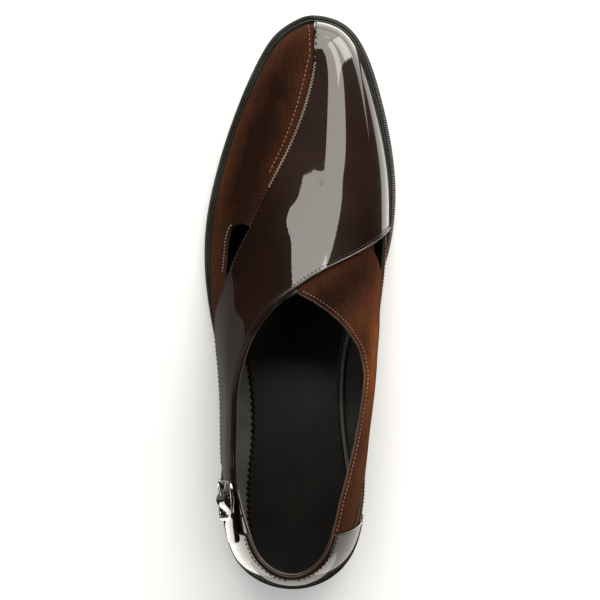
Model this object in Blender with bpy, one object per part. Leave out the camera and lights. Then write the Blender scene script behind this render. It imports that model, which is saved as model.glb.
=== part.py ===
# Left dress shoe. The toe points along +Y, the inner side of the foot is +X, and the sole rests on z = 0.
import bpy
import bmesh
import numpy as np

for old in list(bpy.data.objects):
    bpy.data.objects.remove(old, do_unlink=True)

# sizes of the last and the sole, in metres
SOLE_LENGTH = 0.300
BALL_WIDTH = 0.101
INSTEP_HEIGHT = 0.073
HEEL_HEIGHT = 0.027
TOE_SPRING = 0.010
SOLE_THICKNESS = 0.009

# leather and fits, in metres
WALL = 0.0019
PANEL_THICKNESS = 0.0012
CLEARANCE = 0.0003
FACET_ALLOWANCE = 0.0002
INSOLE_THICKNESS = 0.003

# steps of a run over which a slope is taken, and the run at each end inside which the crest keeps its slope
EDGE_STEP = 1e-4
SKIN_STEP = 1e-3
CREST_END = 0.04

# outline of the sole, a row per station from the heel to the toe
# along is a share of SOLE_LENGTH, lateral and medial are shares of BALL_WIDTH from the long axis
OUTLINE_COLUMNS = ("along", "lateral", "medial")
OUTLINE = (
    (0.000, 0.035, -0.035),
    (0.016, 0.223, 0.149),
    (0.050, 0.335, 0.257),
    (0.100, 0.388, 0.313),
    (0.160, 0.409, 0.325),
    (0.220, 0.402, 0.301),
    (0.280, 0.387, 0.274),
    (0.340, 0.392, 0.267),
    (0.400, 0.422, 0.283),
    (0.460, 0.461, 0.332),
    (0.520, 0.489, 0.401),
    (0.580, 0.500, 0.463),
    (0.640, 0.489, 0.495),
    (0.700, 0.456, 0.502),
    (0.760, 0.408, 0.486),
    (0.820, 0.348, 0.453),
    (0.880, 0.276, 0.407),
    (0.930, 0.203, 0.354),
    (0.970, 0.117, 0.282),
    (0.992, 0.019, 0.190),
    (1.000, -0.072, 0.072),
)

# underside and thickness of the sole plate, a row per station
# arch is a share of HEEL_HEIGHT, spring of TOE_SPRING, thick of SOLE_THICKNESS
PROFILE_COLUMNS = ("along", "arch", "spring", "thick")
PROFILE = (
    (0.00, 0.715, 0.00, 0.89),
    (0.15, 0.700, 0.00, 0.89),
    (0.25, 0.640, 0.00, 0.90),
    (0.33, 0.510, 0.00, 0.92),
    (0.41, 0.275, 0.00, 0.95),
    (0.48, 0.070, 0.00, 0.98),
    (0.54, -0.020, 0.00, 1.00),
    (0.62, -0.025, -0.02, 1.00),
    (0.70, 0.000, -0.03, 1.00),
    (0.78, 0.000, 0.13, 0.98),
    (0.86, 0.000, 0.39, 0.96),
    (0.94, 0.000, 0.73, 0.95),
    (1.00, 0.000, 1.00, 0.95),
)

# crest line of the last, a row per station of its foot line
# crest is where the section ends above, a share of SOLE_LENGTH, side of BALL_WIDTH, height of INSTEP_HEIGHT
CREST_COLUMNS = ("along", "crest", "side", "height")
CREST = (
    (0.00, 0.085, -0.044, 1.350),
    (0.06, 0.120, -0.044, 1.350),
    (0.15, 0.175, -0.042, 1.350),
    (0.25, 0.258, -0.032, 1.340),
    (0.35, 0.350, -0.016, 1.280),
    (0.45, 0.450, 0.004, 1.155),
    (0.55, 0.550, 0.025, 0.918),
    (0.65, 0.645, 0.044, 0.752),
    (0.75, 0.738, 0.060, 0.655),
    (0.85, 0.825, 0.069, 0.588),
    (0.94, 0.895, 0.072, 0.540),
    (1.00, 0.925, 0.072, 0.527),
)

# half sections of the last, a row per station
# foot is the inset from the sole's outline and bulge the lean outwards, shares of BALL_WIDTH
# wall is a share of the section's height and roof of its half width
SECTION_COLUMNS = ("along", "foot", "wall", "bulge", "roof")
LATERAL = (
    (0.00, 0.030, 0.42, 0.040, 0.72),
    (0.06, 0.030, 0.42, 0.038, 0.70),
    (0.15, 0.028, 0.42, 0.026, 0.73),
    (0.25, 0.018, 0.42, 0.078, 0.76),
    (0.35, 0.016, 0.42, 0.098, 0.72),
    (0.45, 0.024, 0.43, 0.069, 0.60),
    (0.55, 0.032, 0.42, 0.040, 0.50),
    (0.65, 0.036, 0.42, 0.030, 0.48),
    (0.75, 0.036, 0.50, 0.025, 0.50),
    (0.85, 0.038, 0.60, 0.020, 0.52),
    (0.94, 0.044, 0.70, 0.015, 0.55),
    (1.00, 0.051, 0.75, 0.010, 0.55),
)
MEDIAL = (
    (0.00, 0.030, 0.42, 0.040, 0.72),
    (0.06, 0.030, 0.42, 0.050, 0.71),
    (0.15, 0.028, 0.42, 0.095, 0.76),
    (0.25, 0.018, 0.42, 0.215, 0.80),
    (0.35, 0.016, 0.49, 0.290, 0.79),
    (0.45, 0.024, 0.51, 0.270, 0.69),
    (0.55, 0.042, 0.48, 0.160, 0.55),
    (0.65, 0.053, 0.50, 0.059, 0.50),
    (0.75, 0.055, 0.55, 0.030, 0.50),
    (0.85, 0.055, 0.62, 0.020, 0.52),
    (0.94, 0.053, 0.70, 0.015, 0.55),
    (1.00, 0.051, 0.75, 0.010, 0.55),
)


def column(table, names, name):
    return np.array([row[names.index(name)] for row in table])


def cubic(knots, values, at):
    """Smooth curve through rows of values, with no bend at its two ends."""
    step = np.diff(knots)
    count = len(knots)
    system = np.eye(count)
    right = np.zeros(values.shape)
    for i in range(1, count - 1):
        system[i, i - 1 : i + 2] = (step[i - 1], 2 * (step[i - 1] + step[i]), step[i])
        right[i] = 6 * (
            (values[i + 1] - values[i]) / step[i] - (values[i] - values[i - 1]) / step[i - 1]
        )
    bend = np.linalg.solve(system, right)
    i = np.clip(np.searchsorted(knots, at) - 1, 0, count - 2)
    length = step[i]
    ahead = ((at - knots[i]) / length)[..., None]
    behind = 1 - ahead
    length = length[..., None]
    return (
        behind * values[i]
        + ahead * values[i + 1]
        + (behind**3 - behind) * bend[i] * length**2 / 6
        + (ahead**3 - ahead) * bend[i + 1] * length**2 / 6
    )


def mirrored(knots, values, swap):
    """Rows carried round the heel and the toe, where the two sides change places."""
    extra = 4
    before = values[1 : extra + 1][::-1][:, swap]
    after = values[-extra - 1 : -1][::-1][:, swap]
    ends = 2 * knots[-1] - knots[-extra - 1 : -1][::-1]
    return (
        np.concatenate([-knots[1 : extra + 1][::-1], knots, ends]),
        np.concatenate([before, values, after]),
    )


outline_rows = np.array(OUTLINE) * (SOLE_LENGTH, BALL_WIDTH, BALL_WIDTH)
outline_rows[:, 1] *= -1
chord = np.linalg.norm(np.diff(outline_rows[:, [1, 0]], axis=0), axis=1)
chord = (chord + np.linalg.norm(np.diff(outline_rows[:, [2, 0]], axis=0), axis=1)) / 2
outline_run = np.concatenate([[0], np.cumsum(chord) / chord.sum()])
OUTLINE_KNOTS, OUTLINE_VALUES = mirrored(outline_run, outline_rows, [0, 2, 1])
ALONG = column(OUTLINE, OUTLINE_COLUMNS, "along")


def run_of(along):
    """Share of the way round the outline for a share of the sole's length."""
    return np.interp(along, ALONG, outline_run)


HALF_COLUMNS = SECTION_COLUMNS[1:]
LAST_COLUMNS = (
    CREST_COLUMNS[1:]
    + tuple("lateral_" + name for name in HALF_COLUMNS)
    + tuple("medial_" + name for name in HALF_COLUMNS)
)


def side_tables():
    """Knots and rows of all the columns of the last, in metres where they are lengths."""
    crest = np.array(CREST)[:, 1:] * (SOLE_LENGTH, BALL_WIDTH, INSTEP_HEIGHT)
    scale = (BALL_WIDTH, 1, BALL_WIDTH, 1)
    lateral = np.array(LATERAL)[:, 1:] * scale
    medial = np.array(MEDIAL)[:, 1:] * scale
    rows = np.concatenate([crest, lateral, medial], axis=1)
    middle, half = len(CREST_COLUMNS) - 1, len(HALF_COLUMNS)
    lateral_at = list(range(middle, middle + half))
    medial_at = list(range(middle + half, middle + 2 * half))
    swap = [*range(middle), *medial_at, *lateral_at]
    knots = run_of(column(CREST, CREST_COLUMNS, "along"))
    knots[-1] = 1
    return mirrored(knots, rows, swap)


LAST_KNOTS, LAST_VALUES = side_tables()


def ground(y):
    """Height of the sole's underside at a distance from the heel end."""
    rows = np.array(PROFILE)[:, 1:3] @ (HEEL_HEIGHT, TOE_SPRING)
    along = column(PROFILE, PROFILE_COLUMNS, "along") * SOLE_LENGTH
    return np.maximum(cubic(along, rows[:, None], np.clip(y, 0, SOLE_LENGTH))[..., 0], 0)


def seat(y):
    """Height of the sole's top, where the upper stands."""
    along = column(PROFILE, PROFILE_COLUMNS, "along") * SOLE_LENGTH
    thick = column(PROFILE, PROFILE_COLUMNS, "thick") * SOLE_THICKNESS
    return ground(y) + np.interp(y, along, thick)


def edge(run, inset):
    """The sole's outline moved inwards: lateral and medial points, and the outward directions."""
    points, outs = [], []
    for side, turn in ((1, -1), (2, 1)):
        here = cubic(OUTLINE_KNOTS, OUTLINE_VALUES, run)[..., [side, 0]]
        ahead = cubic(OUTLINE_KNOTS, OUTLINE_VALUES, run + EDGE_STEP)[..., [side, 0]]
        behind = cubic(OUTLINE_KNOTS, OUTLINE_VALUES, run - EDGE_STEP)[..., [side, 0]]
        along = ahead - behind
        along /= np.linalg.norm(along, axis=-1, keepdims=True)
        out = np.stack([along[..., 1], -along[..., 0]], axis=-1) * turn
        points.append(here - out * np.asarray(inset)[..., None])
        outs.append(out)
    return points, outs


def outline_middle():
    """Middle of the sole's outline on the floor, where the origin goes."""
    run = np.linspace(0, 1, SOLE_STATIONS)
    points = np.concatenate(edge(run, np.zeros(run.shape))[0])
    return np.append((points.min(0) + points.max(0)) / 2, 0)


def section(run, around):
    """Points of the last's skin.

    run goes from the heel to the toe, around from the lateral foot over the crest to the medial foot.
    """
    values = dict(zip(LAST_COLUMNS, np.moveaxis(cubic(LAST_KNOTS, LAST_VALUES, run), -1, 0)))
    crest = np.stack([values["side"], values["crest"], values["height"]], axis=-1)
    inner = np.clip(run, CREST_END, 1 - CREST_END)
    ahead = cubic(LAST_KNOTS, LAST_VALUES, inner + SKIN_STEP)
    rise = ahead - cubic(LAST_KNOTS, LAST_VALUES, inner - SKIN_STEP)
    slope = rise[..., LAST_COLUMNS.index("height")] / rise[..., LAST_COLUMNS.index("crest")]
    lateral = around < 0.5

    def own(name):
        return np.where(lateral, values["lateral_" + name], values["medial_" + name])

    points, outs = edge(run, own("foot"))
    flat = np.where(lateral[..., None], points[0], points[1])
    out = np.where(lateral[..., None], outs[0], outs[1])
    foot = np.concatenate([flat, (seat(flat[..., 1]) + CLEARANCE)[..., None]], axis=-1)
    up = np.zeros(foot.shape)
    up[..., 2] = own("wall") * (crest[..., 2] - foot[..., 2])
    lean = np.concatenate([out, np.zeros(out[..., :1].shape)], axis=-1) * own("bulge")[..., None]
    reach = (foot - crest) * own("roof")[..., None]
    reach[..., 2] = slope * reach[..., 1]
    share = np.where(lateral, 2 * around, 2 * (1 - around))[..., None]
    rest = 1 - share
    return (
        rest**3 * foot
        + 3 * rest**2 * share * (foot + up + lean)
        + 3 * rest * share**2 * (crest + reach)
        + share**3 * crest
    )


def skin(run, around, away):
    """Points of the last's skin moved outwards by a distance."""
    run, around = np.broadcast_arrays(np.asarray(run, float), np.asarray(around, float))
    forward = section(run + SKIN_STEP, around) - section(run - SKIN_STEP, around)
    across = section(run, around + SKIN_STEP) - section(run, around - SKIN_STEP)
    normal = np.cross(across, forward)
    normal /= np.linalg.norm(normal, axis=-1, keepdims=True)
    return section(run, around) + normal * away


# lines drawn on the skin, a row per point: run and around as for section
POINT_COLUMNS = ("run", "around")
THROAT_RUN = 0.517
TOPLINE_LATERAL = (
    (0.000, 0.316),
    (0.060, 0.314),
    (0.108, 0.306),
    (0.138, 0.296),
    (0.167, 0.280),
    (0.196, 0.262),
    (0.222, 0.250),
    (0.250, 0.250),
    (0.300, 0.256),
    (0.342, 0.259),
    (0.367, 0.266),
    (0.400, 0.290),
    (0.430, 0.317),
    (0.458, 0.350),
    (0.483, 0.392),
    (0.504, 0.437),
    (0.517, 0.480),
    (1.000, 0.500),
)
TOPLINE_MEDIAL = (
    (0.000, 0.684),
    (0.060, 0.682),
    (0.120, 0.682),
    (0.183, 0.690),
    (0.229, 0.710),
    (0.283, 0.742),
    (0.338, 0.758),
    (0.379, 0.764),
    (0.404, 0.758),
    (0.437, 0.726),
    (0.462, 0.678),
    (0.483, 0.617),
    (0.500, 0.550),
    (0.517, 0.480),
    (1.000, 0.500),
)

# side cut-outs of the upper: low is the edge nearer the sole, high the edge of the strap
# where the two are equal the wall is whole
CUT_COLUMNS = ("run", "low", "high")
CUT_LATERAL = (
    (0.000, 0.150, 0.150),
    (0.200, 0.095, 0.095),
    (0.217, 0.078, 0.120),
    (0.250, 0.071, 0.128),
    (0.300, 0.076, 0.133),
    (0.350, 0.090, 0.140),
    (0.400, 0.108, 0.150),
    (0.440, 0.125, 0.152),
    (0.470, 0.142, 0.166),
    (0.500, 0.165, 0.195),
    (0.542, 0.188, 0.238),
    (0.571, 0.194, 0.262),
    (0.590, 0.194, 0.278),
    (0.604, 0.199, 0.290),
    (0.616, 0.210, 0.294),
    (0.625, 0.250, 0.250),
    (1.000, 0.250, 0.250),
)
CUT_MEDIAL = (
    (0.000, 0.850, 0.850),
    (0.135, 0.800, 0.800),
    (0.160, 0.865, 0.808),
    (0.200, 0.897, 0.825),
    (0.240, 0.915, 0.845),
    (0.300, 0.920, 0.860),
    (0.360, 0.920, 0.866),
    (0.420, 0.912, 0.864),
    (0.470, 0.903, 0.864),
    (0.500, 0.895, 0.866),
    (0.529, 0.887, 0.866),
    (0.546, 0.882, 0.846),
    (0.567, 0.880, 0.812),
    (0.585, 0.882, 0.785),
    (0.600, 0.878, 0.790),
    (0.614, 0.840, 0.840),
    (1.000, 0.750, 0.750),
)

# patent panel from the toe over the instep to the buckle: low is its lateral edge, high its rear edge
PANEL_COLUMNS = ("run", "low", "high")
PANEL = (
    (0.128, 0.172, 0.226),
    (0.132, 0.158, 0.236),
    (0.142, 0.152, 0.240),
    (0.232, 0.150, 0.241),
    (0.250, 0.138, 0.250),
    (0.300, 0.127, 0.256),
    (0.342, 0.132, 0.259),
    (0.367, 0.136, 0.266),
    (0.400, 0.136, 0.290),
    (0.430, 0.132, 0.317),
    (0.458, 0.133, 0.350),
    (0.483, 0.148, 0.392),
    (0.504, 0.178, 0.437),
    (0.517, 0.196, 0.480),
    (0.530, 0.210, 0.502),
    (0.542, 0.223, 0.552),
    (0.554, 0.235, 0.606),
    (0.571, 0.251, 0.682),
    (0.590, 0.270, 0.773),
    (0.604, 0.284, 0.848),
    (0.614, 0.294, 0.925),
    (0.625, 0.302, 0.992),
    (0.667, 0.334, 0.992),
    (0.704, 0.366, 0.992),
    (0.742, 0.398, 0.992),
    (0.796, 0.434, 0.992),
    (0.842, 0.459, 0.992),
    (0.896, 0.483, 0.992),
    (0.950, 0.496, 0.992),
    (1.000, 0.500, 0.992),
)

# distance of the panel's strap from the skin beyond its fit, a row per point, shares of WALL
# it passes under the front of the buckle, over the folded strap and under the back of the buckle
LIFT_COLUMNS = ("run", "lift")
LIFT = (
    (0.1280, 0.85),
    (0.1550, 0.82),
    (0.1650, 0.68),
    (0.1755, 0.68),
    (0.1795, 0.90),
    (0.1855, 1.42),
    (0.1915, 2.15),
    (0.1975, 2.40),
    (0.2035, 2.15),
    (0.2095, 1.30),
    (0.2155, 0.42),
    (0.2200, 0.06),
    (0.2450, 0.00),
    (1.000, 0.00),
)
STRAP_STATIONS = (
    0.128, 0.132, 0.142, 0.152, 0.160, 0.168, 0.1755, 0.1795, 0.1855, 0.1915,
    0.1975, 0.2035, 0.2095, 0.2155, 0.220, 0.231, 0.245,
)

# stations where sections stand: evenly spread ones, and those at the corners of the lines above
STATIONS = 37
FIXED_STATIONS = (
    0.135, 0.160, 0.200, 0.250, 0.517, 0.530, 0.542, 0.554, 0.571, 0.590, 0.604, 0.614, 0.625,
)
NEAR_STATION = 0.008
OPEN_GAP = 1e-6
LOW_COLUMNS = 4
HIGH_COLUMNS = 6
PANEL_WIDTH_COLUMNS = 11
WELD = 1e-5


def stations():
    """Shares of run where the sections stand, with those that the edges need."""
    fixed = np.array(FIXED_STATIONS)
    even = [place for place in np.linspace(0, 1, STATIONS) if min(abs(place - fixed)) > NEAR_STATION]
    return np.array(sorted(even + list(fixed)))


def smooth(knots, values, at):
    """Curve through the rows that never swings past them."""
    step = np.diff(knots)
    rise = np.diff(values) / step
    slope = np.zeros(len(knots))
    same = rise[1:] * rise[:-1] > 0
    weight_one = 2 * step[1:] + step[:-1]
    weight_two = step[1:] + 2 * step[:-1]
    safe_one = np.where(same, rise[:-1], 1)
    safe_two = np.where(same, rise[1:], 1)
    mean = (weight_one + weight_two) / (weight_one / safe_one + weight_two / safe_two)
    slope[1:-1] = np.where(same, mean, 0)
    i = np.clip(np.searchsorted(knots, at) - 1, 0, len(step) - 1)
    t = np.clip((at - knots[i]) / step[i], 0, 1)
    return (
        values[i] * (1 + 2 * t) * (1 - t) ** 2
        + values[i + 1] * t**2 * (3 - 2 * t)
        + step[i] * t * (1 - t) * (slope[i] * (1 - t) - slope[i + 1] * t)
    )


def line(table, names, name, at):
    return smooth(column(table, names, "run"), column(table, names, name), at)


def cut_edges(table, at):
    """Low and high edges of a cut-out, equal where the wall is whole."""
    low = column(table, CUT_COLUMNS, "low")
    gap = column(table, CUT_COLUMNS, "high") - low
    knots = column(table, CUT_COLUMNS, "run")
    low_edge = smooth(knots, low, at)
    return low_edge, low_edge + smooth(knots, gap, at)


class Shell:
    """Quads gathered for one closed mesh."""

    def __init__(self):
        self.quads = []

    def grid(self, points):
        for one, two in zip(points, points[1:]):
            self.strip(one, two)

    def strip(self, one, two, keep=None):
        for i in range(len(one) - 1):
            if keep is None or keep[i]:
                self.quads.append((one[i], one[i + 1], two[i + 1], two[i]))

    def box(self, low, high):
        """A closed slab between two grids of points."""
        self.grid(low)
        self.grid(high)
        self.strip(low[0], high[0])
        self.strip(low[-1], high[-1])
        self.strip(low[:, 0], high[:, 0])
        self.strip(low[:, -1], high[:, -1])

    def build(self, name, smooth=True):
        mesh = bpy.data.meshes.new(name)
        points = np.array(self.quads).reshape(-1, 3) - outline_middle()
        faces = np.arange(len(points)).reshape(-1, 4)
        mesh.from_pydata(points.tolist(), [], faces.tolist())
        work = bmesh.new()
        work.from_mesh(mesh)
        bmesh.ops.remove_doubles(work, verts=work.verts, dist=WELD)
        bmesh.ops.dissolve_degenerate(work, edges=work.edges, dist=WELD)
        bmesh.ops.recalc_face_normals(work, faces=work.faces)
        bmesh.ops.triangulate(work, faces=work.faces)
        work.to_mesh(mesh)
        work.free()
        if mesh_volume(mesh) < 0:
            mesh.flip_normals()
        for polygon in mesh.polygons:
            polygon.use_smooth = smooth
        thing = bpy.data.objects.new(name, mesh)
        bpy.context.scene.collection.objects.link(thing)
        return thing


def mesh_volume(mesh):
    total = 0.0
    for polygon in mesh.polygons:
        a, b, c = (mesh.vertices[i].co for i in polygon.vertices[:3])
        total += a.dot(b.cross(c)) / 6
    return total


def spread(low, high, columns):
    share = np.linspace(0, 1, columns + 1)
    return low[:, None] + (high - low)[:, None] * share


def build_upper():
    run = stations()
    foot = np.zeros(run.shape)
    cut_low, cut_high = cut_edges(CUT_LATERAL, run)
    top = line(TOPLINE_LATERAL, POINT_COLUMNS, "around", run)
    inner_cut_low, inner_cut_high = cut_edges(CUT_MEDIAL, run)
    inner_top = np.where(run < THROAT_RUN, line(TOPLINE_MEDIAL, POINT_COLUMNS, "around", run), top)
    bands = (
        (foot, cut_low, LOW_COLUMNS),
        (cut_high, top, HIGH_COLUMNS),
        (inner_top, inner_cut_high, HIGH_COLUMNS),
        (inner_cut_low, foot + 1, LOW_COLUMNS),
    )
    shell = Shell()
    outer, inner = [], []
    for low, high, columns in bands:
        around = spread(low, high, columns)
        outer.append(skin(run[:, None], around, 0))
        inner.append(skin(run[:, None], around, -WALL))
        shell.grid(outer[-1])
        shell.grid(inner[-1])

    def rim(band, side, gap=None):
        keep = None if gap is None else (gap[1:] > OPEN_GAP) | (gap[:-1] > OPEN_GAP)
        shell.strip(outer[band][:, side], inner[band][:, side], keep)

    rim(0, 0)
    rim(3, -1)
    rim(0, -1, cut_high - cut_low)
    rim(1, 0, cut_high - cut_low)
    rim(1, -1, inner_top - top)
    rim(2, 0, inner_top - top)
    rim(2, -1, inner_cut_low - inner_cut_high)
    rim(3, 0, inner_cut_low - inner_cut_high)
    return shell.build("upper")


def build_overlay(name, run, around, lift=0):
    """A leather cover that follows the skin just outside it."""
    shell = Shell()
    under = CLEARANCE + FACET_ALLOWANCE + lift
    shell.box(skin(run, around, under), skin(run, around, under + PANEL_THICKNESS))
    return shell.build(name)


def build_panel():
    run = stations()
    run = np.array(STRAP_STATIONS + tuple(run[run > STRAP_STATIONS[-1]]))
    low = line(PANEL, PANEL_COLUMNS, "low", run)
    high = line(PANEL, PANEL_COLUMNS, "high", run)
    around = spread(low, high, PANEL_WIDTH_COLUMNS)
    lift = line(LIFT, LIFT_COLUMNS, "lift", run)[:, None, None] * WALL
    return build_overlay("cross_panel", np.repeat(run[:, None], around.shape[1], 1), around, lift)


# patent counter round the heel: how far its two front edges reach, low at the sole and high at the topline
COUNTER_LOW_RUN = 0.165
COUNTER_HIGH_RUN = 0.120
COUNTER_COLUMNS = 16
COUNTER_ROWS = 6
COUNTER_FOOT = 0.007


def build_counter():
    """The patent piece round the heel. A run below zero is the medial side."""
    height = np.linspace(0, 1, COUNTER_ROWS + 1)
    ahead = COUNTER_LOW_RUN + (COUNTER_HIGH_RUN - COUNTER_LOW_RUN) * height
    run = ahead[None, :] * np.linspace(-1, 1, COUNTER_COLUMNS + 1)[:, None]
    lateral = line(TOPLINE_LATERAL, POINT_COLUMNS, "around", run)
    medial = 1 - line(TOPLINE_MEDIAL, POINT_COLUMNS, "around", -run)
    top = np.where(run < 0, medial, lateral)
    around = COUNTER_FOOT + (top - COUNTER_FOOT) * height[None, :]
    return build_overlay("heel_counter", run, around)


# width of the sole's rim outside the upper, a row per station, shares of BALL_WIDTH
RIM_COLUMNS = ("along", "lateral", "medial")
RIM = (
    (0.00, 0.012, 0.012),
    (0.15, 0.010, 0.010),
    (0.35, 0.012, 0.012),
    (0.45, 0.018, 0.018),
    (0.55, 0.026, 0.024),
    (0.65, 0.031, 0.034),
    (0.75, 0.032, 0.036),
    (0.85, 0.033, 0.036),
    (0.94, 0.034, 0.035),
    (1.00, 0.034, 0.034),
)

# width of the bare border round the tread, in metres
TREAD_BORDER = 0.0058

# side of the sole from the tread up to the seat
# rim is an inset as a share of the rim's width, border of TREAD_BORDER, height a share of the sole's thickness
SIDE_COLUMNS = ("rim", "border", "height")
SOLE_SIDE = (
    (0.00, 1.00, 0.14),
    (0.00, 1.00, 0.00),
    (0.00, 0.25, 0.00),
    (0.00, 0.11, 0.09),
    (0.00, 0.10, 0.30),
    (0.00, 0.20, 0.33),
    (0.00, 0.20, 0.40),
    (0.00, 0.08, 0.43),
    (0.00, 0.08, 0.68),
    (0.00, 0.00, 0.74),
    (0.00, 0.00, 0.95),
    (0.06, 0.00, 1.00),
    (0.52, 0.00, 1.00),
    (0.58, 0.00, 0.90),
    (0.70, 0.00, 0.90),
    (0.75, 0.00, 1.05),
    (0.92, 0.00, 1.05),
    (0.97, 0.00, 1.00),
)
SOLE_STATIONS = 30

# side of the heel block from its tread up into the sole plate
# border is an inset as a share of TREAD_BORDER, height a share of the height of the plate's underside
HEEL_COLUMNS = ("border", "height")
HEEL_SIDE = (
    (1.00, 0.063),
    (1.00, 0.000),
    (0.24, 0.000),
    (0.16, 0.050),
    (0.16, 0.190),
    (0.27, 0.215),
    (0.27, 0.265),
    (0.15, 0.290),
    (0.15, 0.450),
    (0.26, 0.475),
    (0.26, 0.525),
    (0.14, 0.550),
    (0.14, 0.710),
    (0.25, 0.735),
    (0.25, 0.785),
    (0.11, 0.810),
    (0.11, 1.150),
)
# front of the heel and how far its middle is hollowed, shares of SOLE_LENGTH
HEEL_BREAST = 0.292
BREAST_SAG = 0.023
BREAST_STEP = 0.25
HEEL_STATIONS = 10
BREAST_COLUMNS = 6
EDGE_POINTS = 200

# tread pads between the front and the back of each row: shares of SOLE_LENGTH under the forefoot,
# shares of the heel's length under the heel
# left, middle and right are the lines between the pads, shares of BALL_WIDTH
PAD_COLUMNS = ("front", "back", "left", "middle", "right")
FOREFOOT_PADS = (
    (0.911, 0.867, 0.015, None, 0.193),
    (0.863, 0.823, -0.071, 0.093, 0.262),
    (0.817, 0.775, -0.105, 0.078, 0.272),
    (0.770, 0.727, -0.135, 0.064, 0.280),
    (0.722, 0.679, -0.158, 0.051, 0.283),
    (0.676, 0.631, -0.158, 0.035, 0.266),
    (0.626, 0.582, -0.155, 0.020, 0.245),
    (0.578, 0.538, -0.153, None, 0.196),
)
HEEL_PADS = (
    (0.836, 0.712, -0.163, None, 0.068),
    (0.699, 0.545, -0.163, None, 0.068),
    (0.531, 0.363, -0.163, None, 0.068),
)
TOE_PAD = (0.972, 0.917)
CRESCENT_PAD = (0.531, 0.492)
HEEL_END_PAD = (0.342, 0.096)

# gap between two pads and how far a pad reaches into the sole, in metres
# depth of the tread, a share of SOLE_THICKNESS
PAD_GAP = 0.0014
PAD_ROOT = 0.0010
TREAD_DEPTH = 0.14


def raised(flat, height):
    return np.concatenate([flat, np.asarray(height)[..., None]], axis=-1)


def build_sole_plate():
    run = np.linspace(0, 1, SOLE_STATIONS)
    along = np.interp(run, outline_run, ALONG)
    knots = column(RIM, RIM_COLUMNS, "along")
    rims = [
        np.interp(along, knots, column(RIM, RIM_COLUMNS, side)) * BALL_WIDTH
        for side in RIM_COLUMNS[1:]
    ]
    shell = Shell()
    rings = []
    for rim, border, height in SOLE_SIDE:
        ring = []
        for side in (0, 1):
            flat = edge(run, rims[side] * rim + TREAD_BORDER * border)[0][side]
            y = flat[..., 1]
            ring.append(raised(flat, ground(y) + height * (seat(y) - ground(y))))
        rings.append(ring)
    for one, two in zip(rings, rings[1:]):
        shell.strip(one[0], two[0])
        shell.strip(one[1], two[1])
    shell.strip(rings[0][0], rings[0][1])
    shell.strip(rings[-1][0], rings[-1][1])
    return shell.build("outsole")


def heel_grid(border, height):
    inset = TREAD_BORDER * border
    breast = HEEL_BREAST * SOLE_LENGTH - max(0, inset - TREAD_BORDER * BREAST_STEP)
    run = np.linspace(0, run_of(breast / SOLE_LENGTH), HEEL_STATIONS)
    sides = edge(run, np.full(run.shape, inset))[0]
    share = np.linspace(0, 1, BREAST_COLUMNS + 1)[None, :, None]
    flat = sides[0][:, None] + (sides[1] - sides[0])[:, None] * share
    sag = BREAST_SAG * SOLE_LENGTH * 4 * share * (1 - share)
    flat[..., 1] -= sag[..., 0] * ((run / run[-1]) ** 3)[:, None]
    return raised(flat, height * ground(flat[..., 1]))


def build_heel_block():
    shell = Shell()
    grids = [heel_grid(border, height) for border, height in HEEL_SIDE]
    for one, two in zip(grids, grids[1:]):
        shell.strip(one[:, 0], two[:, 0])
        shell.strip(one[:, -1], two[:, -1])
        shell.strip(one[-1], two[-1])
    shell.grid(grids[0])
    shell.grid(grids[-1])
    return shell.build("heel_block")


def tread_edge(y, side):
    """Sideways place of the tread's edge on one side at a distance from the heel end."""
    run = np.linspace(0, 1, EDGE_POINTS)
    points = edge(run, np.full(run.shape, TREAD_BORDER + PAD_GAP))[0][side]
    order = np.argsort(points[:, 1])
    return np.interp(y, points[order, 1], points[order, 0])


def add_pad(shell, left, right, front, back, rows, on_floor):
    y = np.linspace(back, front, rows)
    ends = np.stack([np.stack([left(y), y], -1), np.stack([right(y), y], -1)], 1)
    base = np.zeros(ends.shape[:2]) if on_floor else ground(ends[..., 1])
    depth = TREAD_DEPTH * SOLE_THICKNESS + PAD_ROOT
    shell.box(raised(ends, base), raised(ends, base + depth))


def build_pads():
    shell = Shell()
    outer_left = lambda y: tread_edge(y, 0)
    outer_right = lambda y: tread_edge(y, 1)
    heel_length = HEEL_BREAST * SOLE_LENGTH
    for table, length, on_floor in (
        (FOREFOOT_PADS, SOLE_LENGTH, False),
        (HEEL_PADS, heel_length, True),
    ):
        for front, back, left, middle, right in table:
            lines = [x * BALL_WIDTH for x in (left, middle, right) if x is not None]
            edges = [outer_left] + [(lambda y, x=x: np.full(y.shape, x)) for x in lines] + [outer_right]
            for i, (one, two) in enumerate(zip(edges, edges[1:])):
                shift_one = PAD_GAP / 2 if i else 0
                shift_two = PAD_GAP / 2 if i < len(edges) - 2 else 0
                add_pad(
                    shell,
                    lambda y, one=one, s=shift_one: one(y) + s,
                    lambda y, two=two, s=shift_two: two(y) - s,
                    front * length,
                    back * length,
                    2,
                    on_floor,
                )
    for ends, length, rows, on_floor in (
        (TOE_PAD, SOLE_LENGTH, 6, False),
        (CRESCENT_PAD, SOLE_LENGTH, 3, False),
        (HEEL_END_PAD, heel_length, 6, True),
    ):
        front, back = np.array(ends) * length
        add_pad(shell, outer_left, outer_right, front, back, rows, on_floor)
    return shell.build("pads", smooth=False)


def join(target, other):
    step = target.modifiers.new("join_" + other.name, "BOOLEAN")
    step.operation = "UNION"
    step.solver = "EXACT"
    step.object = other
    other.hide_render = True
    other.display_type = "WIRE"


# side of the insole: inset and height are shares of INSOLE_THICKNESS
INSOLE_SIDE = ((0, 0), (0, 0.75), (0.25, 1))


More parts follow.
